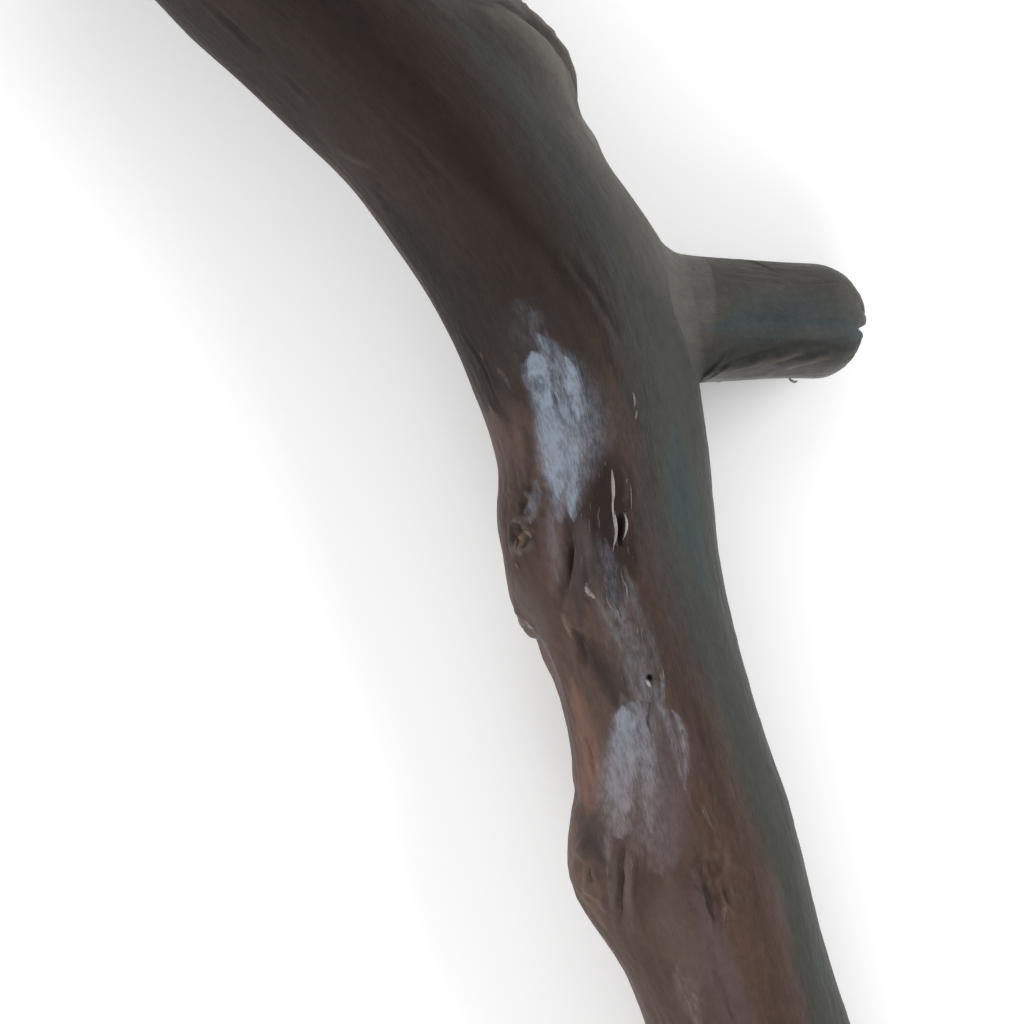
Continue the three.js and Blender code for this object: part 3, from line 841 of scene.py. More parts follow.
def new_material(name):
    """A material with a plain shader, and the tree that the shader stands in."""
    material = bpy.data.materials.new(name)
    material.use_nodes = True
    return material, material.node_tree


def give_finish(tree, depth, strength, height, finish):
    """Gives the shader its finish, and a bump that follows a height by a depth in metres."""
    bump = add_node(tree, "ShaderNodeBump", Strength=strength, Distance=depth, Height=height)
    wire(tree, tree.nodes["Principled BSDF"], {"Normal": bump.outputs[0], **finish})


def wood_noise(tree, place, size, detail):
    """Noise over places, with a scale and a number of finer layers."""
    noise = add_node(tree, "ShaderNodeTexNoise", Vector=place, Scale=size, Detail=detail)
    return noise.outputs["Fac"]


def grain_noise(tree, grain, across, along, detail, seed):
    """Noise on the straightened limb, with its size across and along the grain in millimetres."""
    moved = add_node(
        tree,
        "ShaderNodeMapping",
        Vector=grain,
        Location=(seed, 0.7 * seed, 0),
        Scale=(1 / across, 1 / across, 1 / along),
    )
    return wood_noise(tree, moved.outputs[0], 1.0, detail)


def blend_colour(tree, share, under, over):
    """One colour laid over another by a share."""
    node = add_node(tree, "ShaderNodeMix", {"data_type": "RGBA"}, _0=share, _6=under, _7=over)
    return node.outputs[2]


def shaded(tree, colour, tone):
    """A colour times a tone."""
    node = add_node(tree, "ShaderNodeVectorMath", {"operation": "SCALE"}, _0=colour, Scale=tone)
    return node.outputs[0]


def sum_of(tree, total, *parts):
    """A total plus each part times its share."""
    mode = {"operation": "MULTIPLY_ADD"}
    for part, share in parts:
        total = add_node(tree, "ShaderNodeMath", mode, _0=part, _1=share, _2=total).outputs[0]
    return total


def times(tree, first, second):
    """first times second."""
    return add_node(tree, "ShaderNodeMath", {"operation": "MULTIPLY"}, _0=first, _1=second).outputs[0]


def step_between(tree, value, low, high, top=1.0):
    """0 below low and top above high, smooth between."""
    node = add_node(tree, "ShaderNodeMapRange", {"interpolation_type": "SMOOTHSTEP"}, Value=value)
    node.inputs["From Min"].default_value = low
    node.inputs["From Max"].default_value = high
    node.inputs["To Max"].default_value = top
    return node.outputs[0]


def attribute(tree, name, output="Fac"):
    """A mesh attribute's value at each point."""
    return add_node(tree, "ShaderNodeAttribute", {"attribute_name": name}).outputs[output]


# The chalk colours paint the bleach and, on the same streaks, a painted sky reflection.
CHALK_AND_SKY_REFLECTION_BLUE = (*dye(124, 133, 145), 1)
CHALK_AND_REFLECTION_PINK = (*dye(124, 110, 108), 1)
# Black for the pores, and for the grooves and hollows as painted shade.
PORE_BLACK_AND_GROOVE_SHADE = (0.006, 0.005, 0.004, 1)
# Tan for ridges: wear, and a painted highlight.
WORN_AND_HIGHLIGHT_TAN = (*dye(92, 84, 78), 1)
EARLY_WOOD = (*dye(70, 55, 44), 1)
LATE_WOOD = (*dye(132, 112, 92), 1)
DAMP_STAIN = (*dye(66, 60, 56), 1)
RIM_BARK = (*dye(44, 35, 30), 1)
PITH = (*dye(44, 33, 26), 1)


def bark_material():
    """Smooth weathered bark: the dye that each point carries, shaded by noise stretched along the
    grain, with streaks of bleach and painted sky reflection whose edges the fibres fray, cracks and
    grooves darkened as painted shade, and ridges lightened as worn and as painted highlight."""
    material, tree = new_material("weathered_bark")
    grain = attribute(tree, "grain", "Vector")
    bleach_and_reflection = attribute(tree, "bleach_and_reflection")
    carved_by = attribute(tree, "carved")
    streaks = grain_noise(tree, grain, 1.9, 17, 5, 3)
    fibres = grain_noise(tree, grain, 0.34, 2.6, 4, 9)
    clouds = grain_noise(tree, grain, 7, 16, 4, 17)
    mottle = grain_noise(tree, grain, 1.9, 2.9, 6, 23)
    pores = grain_noise(tree, grain, 0.42, 0.75, 3, 31)

    tone = sum_of(tree, 0.27, (streaks, 0.34), (clouds, 0.4), (mottle, 0.5), (pores, 0.22))
    colour = shaded(tree, attribute(tree, "dye", "Vector"), tone)
    # Raised carving turns towards tan: worn ridges, lightened also as a painted highlight.
    colour = blend_colour(tree, step_between(tree, carved_by, 0.15, 1.0, 0.5), colour, WORN_AND_HIGHLIGHT_TAN)

    # The bleach and the painted sky reflection are a haze that thins out along the fibres, not a coat
    # with an edge.
    fray = sum_of(tree, times(tree, fibres, 0.5), (mottle, 0.35), (pores, 0.15))
    fray = sum_of(tree, 0.62, (step_between(tree, fray, 0.34, 0.66), 0.62))
    mask = step_between(tree, times(tree, bleach_and_reflection, fray), 0.0, 0.9, 0.97)
    chalk_and_reflection = blend_colour(tree, attribute(tree, "warm"), CHALK_AND_SKY_REFLECTION_BLUE, CHALK_AND_REFLECTION_PINK)
    chalk_and_reflection_tone = sum_of(tree, 0.4, (fibres, 0.4), (clouds, 0.36), (mottle, 0.44))
    colour = blend_colour(tree, mask, colour, shaded(tree, chalk_and_reflection, chalk_and_reflection_tone))

    pits = times(tree, step_between(tree, pores, 0.36, 0.24), step_between(tree, clouds, 0.45, 0.65, 0.5))
    # Where the carving sinks deep the colour darkens: painted shade in grooves, hollows and the stub's
    # cleft.
    groove_shade = step_between(tree, carved_by, -0.45, -1.7, 0.88)
    dark = add_node(tree, "ShaderNodeMath", {"operation": "MAXIMUM"}, _0=pits, _1=groove_shade).outputs[0]
    colour = blend_colour(tree, dark, colour, PORE_BLACK_AND_GROOVE_SHADE)
    rough = sum_of(tree, 0.5, (streaks, 0.2), (bleach_and_reflection, 0.12))
    height = sum_of(tree, streaks, (fibres, 0.35), (mottle, 1.2), (pores, 0.3))
    give_finish(tree, 0.0006, 0.5, height, {
        "Base Color": colour,
        "Roughness": rough,
        "Specular IOR Level": 0.14,
        "Sheen Weight": 0.09,
        "Sheen Roughness": 0.25,
    })
    return material


def end_wood_material():
    """Weathered end grain: growth rings by distance from the pith, broken by noise, and a dark rim
    of bark."""
    material, tree = new_material("weathered_end_grain")
    grain = attribute(tree, "grain", "Vector")
    share = attribute(tree, "share")
    moved = add_node(tree, "ShaderNodeMapping", Vector=grain, Scale=(1, 1, 0), Location=(2.5, -1.5, 0))
    flat = moved.outputs[0]
    waver = wood_noise(tree, flat, 0.1, 1.5)
    away = add_node(tree, "ShaderNodeVectorMath", {"operation": "LENGTH"}, _0=flat).outputs["Value"]
    phase = times(tree, sum_of(tree, away, (waver, 3.4)), 3.1)
    rings = add_node(tree, "ShaderNodeMath", {"operation": "SINE"}, _0=phase).outputs[0]
    fine = wood_noise(tree, grain, 1.6, 5.0)
    stains = wood_noise(tree, flat, 0.09, 4.0)
    tone = sum_of(tree, 0.32, (rings, 0.075), (fine, 0.56))
    wood = blend_colour(tree, step_between(tree, tone, 0.3, 0.9), EARLY_WOOD, LATE_WOOD)
    wood = blend_colour(tree, step_between(tree, stains, 0.5, 0.72, 0.6), wood, DAMP_STAIN)
    wood = blend_colour(tree, step_between(tree, share, 0.93, 0.98, 0.9), wood, RIM_BARK)
    wood = blend_colour(tree, step_between(tree, share, 0.04, 0.02, 0.8), wood, PITH)
    finish = {"Base Color": wood, "Roughness": 0.8, "Specular IOR Level": 0.25}
    give_finish(tree, 0.0004, 0.5, tone, finish)
    return material


bark = bark_material()
end_wood = end_wood_material()
limb.data.materials.append(bark)
limb.data.materials.append(end_wood)
# Rows of faces with each of the two materials: bark is 0 and end wood 1, as on both poles.
face_counts = [(SAWN_RINGS, 1), (LIMB_ROWS - 1, 0), (TORN_RINGS, 1)]
face_finish = np.concatenate([np.full(rows * LIMB_SIDES, index) for rows, index in face_counts])
face_finish = np.append(face_finish, np.ones(2 * LIMB_SIDES))
limb.data.polygons.foreach_set("material_index", face_finish.astype(np.int32))
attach(limb, "root")
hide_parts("limb")


# ----------------------------------------------------------------------
# The side stub. What is left of a side branch that broke off long ago: a root that swells out
# of the limb's collar, a straight shank that falls to the ground, and a weathered, rounded end
# that has split in two lobes.
# ----------------------------------------------------------------------

stub_at, stub_swing = 181.8, 0.5  # its place along the limb, and its bearing from +X
stub_length, stub_end_height = 79.6, 11.0
stub_thick, stub_flare, stub_fade = 14.6, 13.3, 16  # radius, extra at its root, how that fades
stub_dome_from, stub_dome_power = 66, 2.4  # where the end rounds off, and how squarely
stub_swellings = [(0.3, 3, 50), (0.2, 2, 0)]  # height, lobes round the section, starting angle

stub_root = on_spine(spine_centre, stub_at)
stub_fall = np.arcsin((stub_root[2] - stub_end_height) / stub_length)
swing = np.radians(stub_swing)
stub_axis = np.array([
    np.cos(stub_fall) * np.cos(swing),
    np.cos(stub_fall) * np.sin(swing),
    -np.sin(stub_fall),
])
stub_side = unit(np.cross([0, 0, 1], stub_axis))
stub_up = np.cross(stub_axis, stub_side)


def stub_radius(distance, turn):
    """A radius that narrows away from the limb, closed by a rounded end whose section is a
    squared-off quarter circle."""
    radius = stub_thick + stub_flare * np.exp(-distance / stub_fade)
    for high, lobes, start in stub_swellings:
        radius = radius + high * np.cos(np.radians(lobes * turn + start))
    share = np.clip((distance - stub_dome_from) / (stub_length - stub_dome_from), 0, 1)
    return radius * (1 - share ** stub_dome_power) ** (1 / stub_dome_power)


def stub_point(distance, turn, radius):
    """The point at a radius from the stub's axis."""
    angle = np.radians(turn)[..., None]
    outward = stub_side * np.sin(angle) + stub_up * np.cos(angle)
    return stub_root + stub_axis * distance[..., None] + outward * radius[..., None]


near_stub = np.abs(spine_at - 190) < 70


def depth_in_limb(points):
    """How far points are inside the bark: the limb's radius at the nearest place on its centre
    line, less the distance from that line."""
    flat = points.reshape(-1, 3)
    centres = spine_centre[near_stub]
    apart = ((flat[:, None] - centres[None]) ** 2).sum(-1)
    nearest = apart.argmin(1)
    offset = flat - centres[nearest]
    along = (offset * spine_ahead[near_stub][nearest]).sum(1)
    at = spine_at[near_stub][nearest] + along
    sideways = (offset * spine_side[near_stub][nearest]).sum(1)
    upward = (offset * spine_up[near_stub][nearest]).sum(1)
    turn = np.degrees(np.arctan2(sideways, upward))
    return (limb_radius(at, turn) - np.hypot(sideways, upward)).reshape(points.shape[:-1])


FARTHEST = 60  # no line beside the stub's axis runs further inside the limb
HALVINGS = 17  # down to half a thousandth of a millimetre


def bark_distance(turn, radius):
    """How far along the stub's axis a line beside it leaves the limb, found by halving."""
    low = np.zeros_like(radius)
    high = np.full_like(radius, FARTHEST)
    for _ in range(HALVINGS):
        middle = (low + high) / 2
        inside = depth_in_limb(stub_point(middle, turn, radius)) > 0
        low = np.where(inside, middle, low)
        high = np.where(inside, high, middle)
    return (low + high) / 2


STUB_SIDES = 190
FILLET_ROWS = 14
SHANK_ROWS = 150
stub_turns = spread_out(-180, 180, STUB_SIDES + 1, lambda turn: 1 + 1.2 * window(turn, -105, 90, 6))[:-1]

# The fillet: a quarter round between the limb's bark and the shank, widest on its upper corner.
fillet = 4.2 + 1.6 * np.sin(np.radians(stub_turns))
SHANK_GUESS = 17.0  # the shank's radius near the bark, which finds the row that it starts from
leave = bark_distance(stub_turns, np.full(STUB_SIDES, SHANK_GUESS))
shank_start = leave + fillet
shank_radius = stub_radius(shank_start, stub_turns)
quarter = np.linspace(0, np.pi / 2, FILLET_ROWS)[:, None]
fillet_turn = np.broadcast_to(stub_turns, (FILLET_ROWS, STUB_SIDES))
fillet_radius = shank_radius + fillet * (1 - np.sin(quarter))
fillet_from = bark_distance(fillet_turn, fillet_radius)
fillet_distance = fillet_from + fillet * (1 - np.cos(quarter)) - 0.25 * np.cos(quarter) ** 8

# The shank and the rounded end, whose rows draw closer together towards the tip.
eased = np.sin(np.pi / 2 * np.linspace(0, 1, SHANK_ROWS + 1)[1:-1])[:, None]
shank_turn = np.broadcast_to(stub_turns, (len(eased), STUB_SIDES))
shank_distance = fillet_distance[-1] + (stub_length - fillet_distance[-1]) * eased
stub_turn = np.concatenate([fillet_turn, shank_turn])
stub_distance = np.concatenate([fillet_distance, shank_distance])
stub_reach = np.concatenate([fillet_radius, stub_radius(shank_distance, shank_turn)])

# Folds and creases of the stub's bark: depth (a ridge where negative), half-width, and line.
stub_furrows = [
    (-0.7, 1.0, [(32, -100), (34, -80), (36, -58), (39, -38)]),
    (0.7, 0.9, [(34, -104), (36, -80), (38.5, -58), (41, -44)]),
    (0.8, 1.2, [(40, -50), (45, -42), (50, -36), (57, -31)]),
    (-0.5, 1.0, [(42, -58), (47, -50), (53, -43), (60, -38)]),
    (0.7, 0.9, [(50, -58), (55, -46), (60, -38), (66, -33)]),
    (-0.6, 0.9, [(51, -68), (56, -54), (61, -46), (67, -40)]),
    (0.8, 1.3, [(53, -26), (60, -27), (67, -28), (75, -30)]),
    (0.5, 0.8, [(44, -84), (52, -76), (60, -72), (68, -74)]),
    (-0.4, 0.8, [(46, -76), (54, -68), (62, -64), (70, -66)]),
    (0.5, 0.5, [(46, 84), (48.5, 74), (51, 62), (54, 50)]),
    (0.3, 0.6, [(36, 40), (48, 34), (60, 36), (70, 40)]),
    (0.25, 0.6, [(58, -6), (64, -4), (71, -6)]),
    (0.8, 0.8, [(30, 150), (45, 142), (60, 148), (72, 140)]),
    (0.7, 0.8, [(34, -150), (48, -158), (66, -150)]),
]
# Checks in the broken end: bearing, depth.
stub_checks = [(12, 0.7), (58, 0.5), (118, 0.8), (165, 0.6), (-140, 0.7), (-84, 0.5)]


def stub_carving(distance, turn, radius):
    """Folds as bells across their lines, and checks that run in from the rim of the broken end as
    narrow bells round its middle."""
    place = grain_place(distance, turn, stub_thick)
    wobble = soft_noise(place / [2.6, 2.6, 4], 43)
    relief = 0
    for deep, wide, course in stub_furrows:
        beside, fade = along_course(distance, turn + 2.5 * wobble, course)
        off = beside * stub_thick / FLANK_RADIUS / wide
        relief = relief - deep * fade * (np.exp(-off ** 2) - 0.3 * np.exp(-(np.abs(off) - 2) ** 2))
    end = window(distance, 73.5, 200, 0.8)
    for bearing, deep in stub_checks:
        off = np.radians(between(turn + 4 * wobble, bearing)) * radius / 0.5
        relief = relief - deep * end * np.exp(-off ** 2) * window(radius, 2, 12, 0.8)
    return relief


stub_place = grain_place(stub_distance, stub_turn, stub_thick)
stub_lumps = 0.32 * soft_noise(stub_place / [7, 7, 15], 41)
stub_lumps = stub_lumps + 0.09 * soft_noise(stub_place / [1.3, 1.3, 11], 42)
stub_carved = stub_carving(stub_distance, stub_turn, stub_reach)
clear_of_limb = np.clip((stub_distance - fillet_from.min()) / 14, 0, 1) ** 2
near_tip = np.clip(stub_reach / 8, 0, 1)
stub_rise = (stub_lumps + stub_carved) * clear_of_limb * near_tip

# The end has split: the lobe on the lower side stands back behind a narrow cleft.
cleft_at, cleft_wide, cleft_deep = -2.2, 0.8, 1.9
lateral = stub_reach * np.sin(np.radians(stub_turn))
end_share = np.clip((stub_distance - 70) / 9, 0, 1)
cleft = np.exp(-(((lateral - cleft_at) / cleft_wide) ** 2))
cleft = cleft * window(np.cos(np.radians(stub_turn)), -0.2, 2, 0.1)
set_back = end_share * (cleft_deep * cleft + 0.5 * window(lateral, -40, cleft_at, 0.35))
end_grains = 0.35 * soft_noise(grain_place(stub_distance, stub_turn, stub_reach) / 1.3, 44) * end_share
stub_rings = stub_point(stub_distance - set_back + end_grains, stub_turn, stub_reach + stub_rise)
stub_poles = np.stack([stub_root + stub_axis * 8, stub_root + stub_axis * stub_length])
stub_points = pressed(np.concatenate([stub_rings.reshape(-1, 3), stub_poles]))
stub_quads, stub_first, stub_last = rings_to_faces(len(stub_rings), STUB_SIDES)

OLIVE_GREY = dye(56, 55, 50)
LIT_TEAL = dye(49, 57, 57)
# Dark grey for the stub's creases: painted shade.
CREASE_SHADE_GREY = dye(44, 44, 43)
# Pale grey for the stub's folds: painted highlight.
FOLD_HIGHLIGHT_GREY = dye(90, 89, 87)
# Light grey for the stub's lower edge: painted rim light.
UNDER_RIM_LIGHT_GREY = dye(126, 125, 122)
# Pale grey for the stub's collar: painted highlight.
COLLAR_HIGHLIGHT_GREY = dye(80, 78, 73)

# Washes on the stub: dye, strength, rows and edge as in the limb's washes.
stub_washes = [
    (OLIVE_GREY, 1.0, [(0, 30, 40), (90, 30, 40)], 0.6),
    (LIT_TEAL, 0.95, [(33, -12, 0), (42, -4, 16), (55, -2, 18), (68, -10, 17), (76, -18, 10),
        (80, -20, 0)]),
    # Light along the stub's lower edge: painted rim light.
    (UNDER_RIM_LIGHT_GREY, 0.9, [(28, -90, 0), (36, -84, 13), (58, -82, 14), (75, -84, 12), (80, -84, 0)]),
    # Along the creases that the furrows cut: painted shade.
    (CREASE_SHADE_GREY, 0.8, [(36, -40, 0), (42, -34, 9), (48, -31, 8), (56, -28, 4), (66, -29, 5),
        (75, -31, 5), (79, -32, 0)], 0.9),
    # On the folds of the lower side: painted highlight.
    (FOLD_HIGHLIGHT_GREY, 0.75, [(34, -70, 0), (42, -66, 10), (52, -60, 11), (60, -62, 12), (72, -72, 14),
        (79, -70, 0)], 0.9),
    # In the crease between two folds: painted shade.
    (CREASE_SHADE_GREY, 0.7, [(50, -58, 0), (55, -45, 3), (60, -38, 3.4), (67, -34, 0)], 0.8),
    # On the fold beside that crease: painted highlight.
    (FOLD_HIGHLIGHT_GREY, 0.7, [(46, -62, 0), (52, -56, 3), (60, -50, 3), (66, -46, 0)], 0.9),
    # Pale on the collar where the stub leaves the limb: painted highlight.
    (COLLAR_HIGHLIGHT_GREY, 0.6, [(10, 50, 60), (30, 50, 60), (34, 50, 42), (36, 50, 0)], 0.8),
    # Along a groove: painted shade.
    (UMBER, 0.35, [(44, 80, 0), (49, 72, 4), (54, 58, 3), (58, 50, 0)]),
]
stub_sway = soft_noise(stub_place / [5, 5, 12], 45)
stub_dye_and_painted_light = np.broadcast_to(SLATE, stub_turn.shape + (3,))
stub_dye_and_painted_light = lay_washes(stub_dye_and_painted_light, stub_distance, stub_turn + 4 * stub_sway, stub_washes)


def with_poles(values, first, last):
    """The rings' values in one list, then one for each pole."""
    return np.concatenate([values.reshape((-1,) + values.shape[2:]), [first], [last]])


stub_values = {
    "bleach_and_reflection": with_poles(0 * stub_turn, 0, 0),
    # The cleft's depth joins the carving so that the bark shader darkens it: painted shade.
    "carved": with_poles(stub_rise - 0.8 * set_back * cleft, 0, 0),
    "warm": with_poles(0 * stub_turn, 0, 0),
}
stub_grain = grain_place(stub_distance, stub_turn, stub_reach) + [60, 0, 0]
stub_vectors = {
    "grain": with_poles(stub_grain, [60, 0, 8], [60, 0, stub_length]),
    "dye": with_poles(stub_dye_and_painted_light, SLATE, SLATE),
}
stub = closed_mesh(
    "side_stub_wood",
    stub_points,
    stub_quads,
    np.concatenate([stub_first, stub_last]),
    stub_values,
    stub_vectors,
)
stub.data.materials.append(bark)
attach(stub, "root")
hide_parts("side_stub")


# ----------------------------------------------------------------------
# Slivers and splinters. Thin fibres of bare wood that have lifted from the sun-whitened stretch,
# small lumps on the knots, burrs under the stub, and the shards that stand on the snapped end. The
# palest slivers also paint the glints on crack edges. Each is a closed spindle whose roots lie in
# the wood.
# ----------------------------------------------------------------------

SPINDLE_ROWS, SPINDLE_SIDES = 21, 8
FIBRE_ROWS, FIBRE_SIDES = 7, 5  # there are hundreds of fibres, so each has few faces
FIBRE_DRIFT = 0.3  # degrees round the limb for each millimetre of a fibre's length
SUNK = 0.12  # how far a sliver's two points lie under the bark
SHARD_ROOT = 2.5  # how much of a shard is rooted in the snapped end
POINT_TONE = 0.35  # how light a spindle's points are beside its middle


def spindle(path, outward, wide, thick, blunt, sides):
    """A closed spindle along a path: rings whose half-width and half-thickness follow a sine
    wave to a power, flat where they face the bark, with a point at each end."""
    reach = np.linspace(0, 1, len(path))[1:-1]
    ahead = unit(np.gradient(path, axis=0))[1:-1]
    out = unit(outward[1:-1] - (outward[1:-1] * ahead).sum(1, keepdims=True) * ahead)
    across = np.cross(ahead, out)
    swell = np.sin(np.pi * reach)[:, None, None] ** blunt
    angle = 2 * np.pi * np.arange(sides) / sides
    ring = across[:, None] * np.cos(angle)[:, None] * wide + out[:, None] * np.sin(angle)[:, None] * thick
    points = path[1:-1, None] + swell * ring
    return np.concatenate([points.reshape(-1, 3), path[:1], path[-1:]])


def on_bark(course, lift, rows):
    """A path over the bark through (distance, turn) points, lifted off it, and the directions
    that point away from the bark."""
    reach = np.linspace(0, 1, rows)
    at, turn = (curve_through(np.array(course, float), reach)).T
    height = lift * np.sin(np.pi * reach) - SUNK
    path = limb_point(at, turn, limb_radius(at, turn) + height)
    return path, unit(path - on_spine(spine_centre, at))


# Bone and white for slivers of bare wood that also stand in for glints: painted highlights.
BONE_AND_GLINT = dye(137, 133, 128)
WHITE_WOOD_AND_GLINT = dye(142, 142, 144)
DRY_FLAKE = dye(102, 97, 95)
OLD_FLAKE = dye(88, 80, 77)
KNOT_TAN = dye(96, 80, 71)
LEDGE_PALE = dye(132, 123, 118)
FIBRE_GREY = dye(120, 114, 115)
TORN_WOOD = dye(120, 106, 90)

# Slivers on the limb: dye, half-width, half-thickness, lift, bluntness, and their line.
bark_slivers = [
    # These four slivers are fibres of bare wood whose paleness also paints the glints on the crack edges.
    (BONE_AND_GLINT, 0.24, 0.16, 0.08, 0.8, [(217.6, 1.2), (224, 0), (230, -2.4), (236, -3.4), (243, -9)]),
    (BONE_AND_GLINT, 0.42, 0.2, 0.12, 1.2, [(218.8, 1), (223, 0.2), (227, -1), (229.8, -3)]),
    (BONE_AND_GLINT, 0.42, 0.22, 0.14, 1.2, [(229.4, -3), (232, -2.2), (236, -3), (240.4, -7)]),
    (WHITE_WOOD_AND_GLINT, 0.3, 0.24, 0.25, 1.1, [(230.6, 2.6), (233, 3.4), (235.4, 2.4), (238, -0.6)]),
    (DRY_FLAKE, 0.3, 0.22, 0.1, 0.8, [(203.5, 20.5), (205, 20.4), (206.5, 20), (208, 19)]),
    (DRY_FLAKE, 0.28, 0.22, 0.1, 0.8, [(208, 20), (209, 19.6), (210, 18.6), (211, 18)]),
    (DRY_FLAKE, 0.16, 0.15, 0.1, 0.7, [(224, 8.6), (226, 8.6), (229, 7.6), (232, 6.6)]),
    (DRY_FLAKE, 0.3, 0.3, 0.15, 0.7, [(251.5, -12.4), (253.2, -10.8), (255.2, -11), (257.4, -9.4)]),
    (DRY_FLAKE, 0.3, 0.3, 0.1, 0.7, [(248, -14), (250.5, -14.6), (252.5, -13), (254, -13.5)]),
    (DRY_FLAKE, 0.25, 0.2, 0.1, 0.7, [(246, -5), (248, -3.4), (250.5, -4), (252, -3)]),
    # A white chip beside the exit hole: a painted highlight on the hole's edge, made as a sliver.
    (WHITE_WOOD_AND_GLINT, 0.4, 0.4, 0.1, 0.6, [(270.6, -7), (271.3, -6), (272.2, -5.4), (273, -5)]),
    (OLD_FLAKE, 0.2, 0.2, 0.1, 0.9, [(275.5, -4.6), (277.8, -7.8), (280.4, -11.6), (284, -13)]),
    (OLD_FLAKE, 0.24, 0.2, 0.1, 0.9, [(268, 3.4), (269.6, 3.6), (271.4, 2.6), (273, 2.4)]),
    (OLD_FLAKE, 0.24, 0.2, 0.1, 0.9, [(273, 2.4), (275, 1), (277, -0.4), (279, -2)]),
    (OLD_FLAKE, 0.24, 0.2, 0.08, 0.9, [(284, 4.6), (286.5, 5.8), (289, 5.6), (291.5, 4.6)]),
    (OLD_FLAKE, 0.24, 0.2, 0.08, 0.9, [(288, 0), (290.5, 0.8), (293, 0.2), (296, -1.6)]),
    (OLD_FLAKE, 0.14, 0.16, 0.06, 0.9, [(302, 5.6), (305, 6.2), (308.5, 7.2), (312, 7.6)]),
    (OLD_FLAKE, 0.14, 0.16, 0.06, 0.9, [(325, 3.6), (328, 2.6), (331, 0.4), (334, -1.6)]),
    (LEDGE_PALE, 0.6, 0.5, 0.05, 0.6, [(245.8, -25), (246.8, -24.6), (247.6, -23.6), (248, -22.6)]),
    (LEDGE_PALE, 0.5, 0.45, 0.05, 0.6, [(247.4, -23.4), (248.4, -22.4), (249, -21.4), (249.4, -20.6)]),
    (LEDGE_PALE, 0.5, 0.4, 0.1, 0.7, [(251, -84), (252, -82.4), (253, -80.6), (253.6, -79)]),
    (LEDGE_PALE, 0.5, 0.4, 0.1, 0.7, [(251.6, -75.5), (252.6, -73.6), (253.4, -71.6), (254, -70)]),
    (KNOT_TAN, 0.8, 0.5, -0.1, 0.4, [(230.8, -60), (231.4, -58.8), (231.8, -57.4), (232.2, -56.2)]),
    (KNOT_TAN, 0.7, 0.5, -0.1, 0.4, [(231.4, -54), (232.2, -53), (233.2, -52.4), (234.2, -52.4)]),
    (KNOT_TAN, 0.6, 0.4, -0.05, 0.4, [(233.6, -62.6), (234.6, -62), (235.6, -61.2), (236.6, -60.4)]),
    (KNOT_TAN, 0.5, 0.4, 0.1, 0.5, [(238.8, -67), (239.4, -66), (240, -65.2), (240.6, -65)]),
]
shards, shard_quads, shard_fans, shard_dyes_and_glints, shard_grain = [], [], [], [], []


def keep_shard(path, outward, tint, wide, thick, blunt, sides=SPINDLE_SIDES):
    """Adds a spindle to the joined piece, with its place along its own grain and its dye, which
    is darker by half a sine wave towards the points."""
    points = spindle(path, outward, wide, thick, blunt, sides)
    quads, first_fan, last_fan = rings_to_faces(len(path) - 2, sides)
    offset = sum(len(kept) for kept in shards)
    shard_quads.append(quads + offset)
    shard_fans.append(np.concatenate([first_fan, last_fan]) + offset)
    shards.append(pressed(points))
    swell = np.sin(np.pi * np.linspace(0, 1, len(path))[1:-1])
    ring_tone = np.repeat(POINT_TONE + (1 - POINT_TONE) * swell, sides)
    shard_dyes_and_glints.append(np.append(ring_tone, [POINT_TONE, POINT_TONE])[:, None] * tint)
    shard_grain.append(points)


for tint, wide, thick, lift, blunt, course in bark_slivers:
    path, outward = on_bark(course, lift, SPINDLE_ROWS)
    keep_shard(path, outward, tint, wide, thick, blunt)

# Fine fibres along the grain, thickest where the pale streaks of bleach and painted sky reflection
# fray: how many, distance, turn, and how far they spread along and round the limb.
fibre_patches = [
    (70, 208, -10, 15, 7),
    (26, 229, -20, 7, 6),
    (24, 224, 2, 12, 7),
    (80, 250, -13, 9, 8),
    (60, 268, -9, 11, 8),
    (50, 284, -8, 9, 9),
    (50, 298, -26, 9, 10),
    (16, 290, 3, 6, 3),
    (6, 322, 0, 7, 4),
]
chance = np.random.default_rng(57)
for count, patch_at, patch_turn, far, round_by in fibre_patches:
    for _ in range(count):
        at = patch_at + far * np.clip(chance.normal(), -1.4, 1.4)
        turn = patch_turn + round_by * np.clip(chance.normal(), -1.3, 1.3)
        long = chance.uniform(2, 8)
        sway = 0.35 * chance.normal(0, 1, 2)
        middle = (at + long / 2, turn + sway[0] - FIBRE_DRIFT * long / 2)
        tip = (at + long, turn + sway[1] - FIBRE_DRIFT * long)
        course = [(at, turn), middle, tip]
        path, outward = on_bark(course, chance.uniform(0, 0.08), FIBRE_ROWS)
        tint = chance.uniform(0.3, 0.85) * FIBRE_GREY
        keep_shard(path, outward, tint, chance.uniform(0.04, 0.1), 0.1, 0.8, FIBRE_SIDES)

# Burrs that hang under the stub's lower edge: distance, turn, length, half-width.
for distance, turn, long, wide in ((40.5, -97, 2.6, 0.5), (61, -96, 2.6, 0.55)):
    reach = np.linspace(0, 1, SPINDLE_ROWS)
    lean = distance + long * reach
    radius = stub_thick - 0.4 + 1.1 * np.sin(np.pi * reach * 0.75)
    path = stub_point(lean, turn + 0 * reach, radius)
    outward = path - stub_point(lean, turn + 0 * reach, 0 * radius)
    # The burrs take the lower edge's grey with its painted rim light.
    keep_shard(path, outward, UNDER_RIM_LIGHT_GREY, wide, 0.35, 0.6)

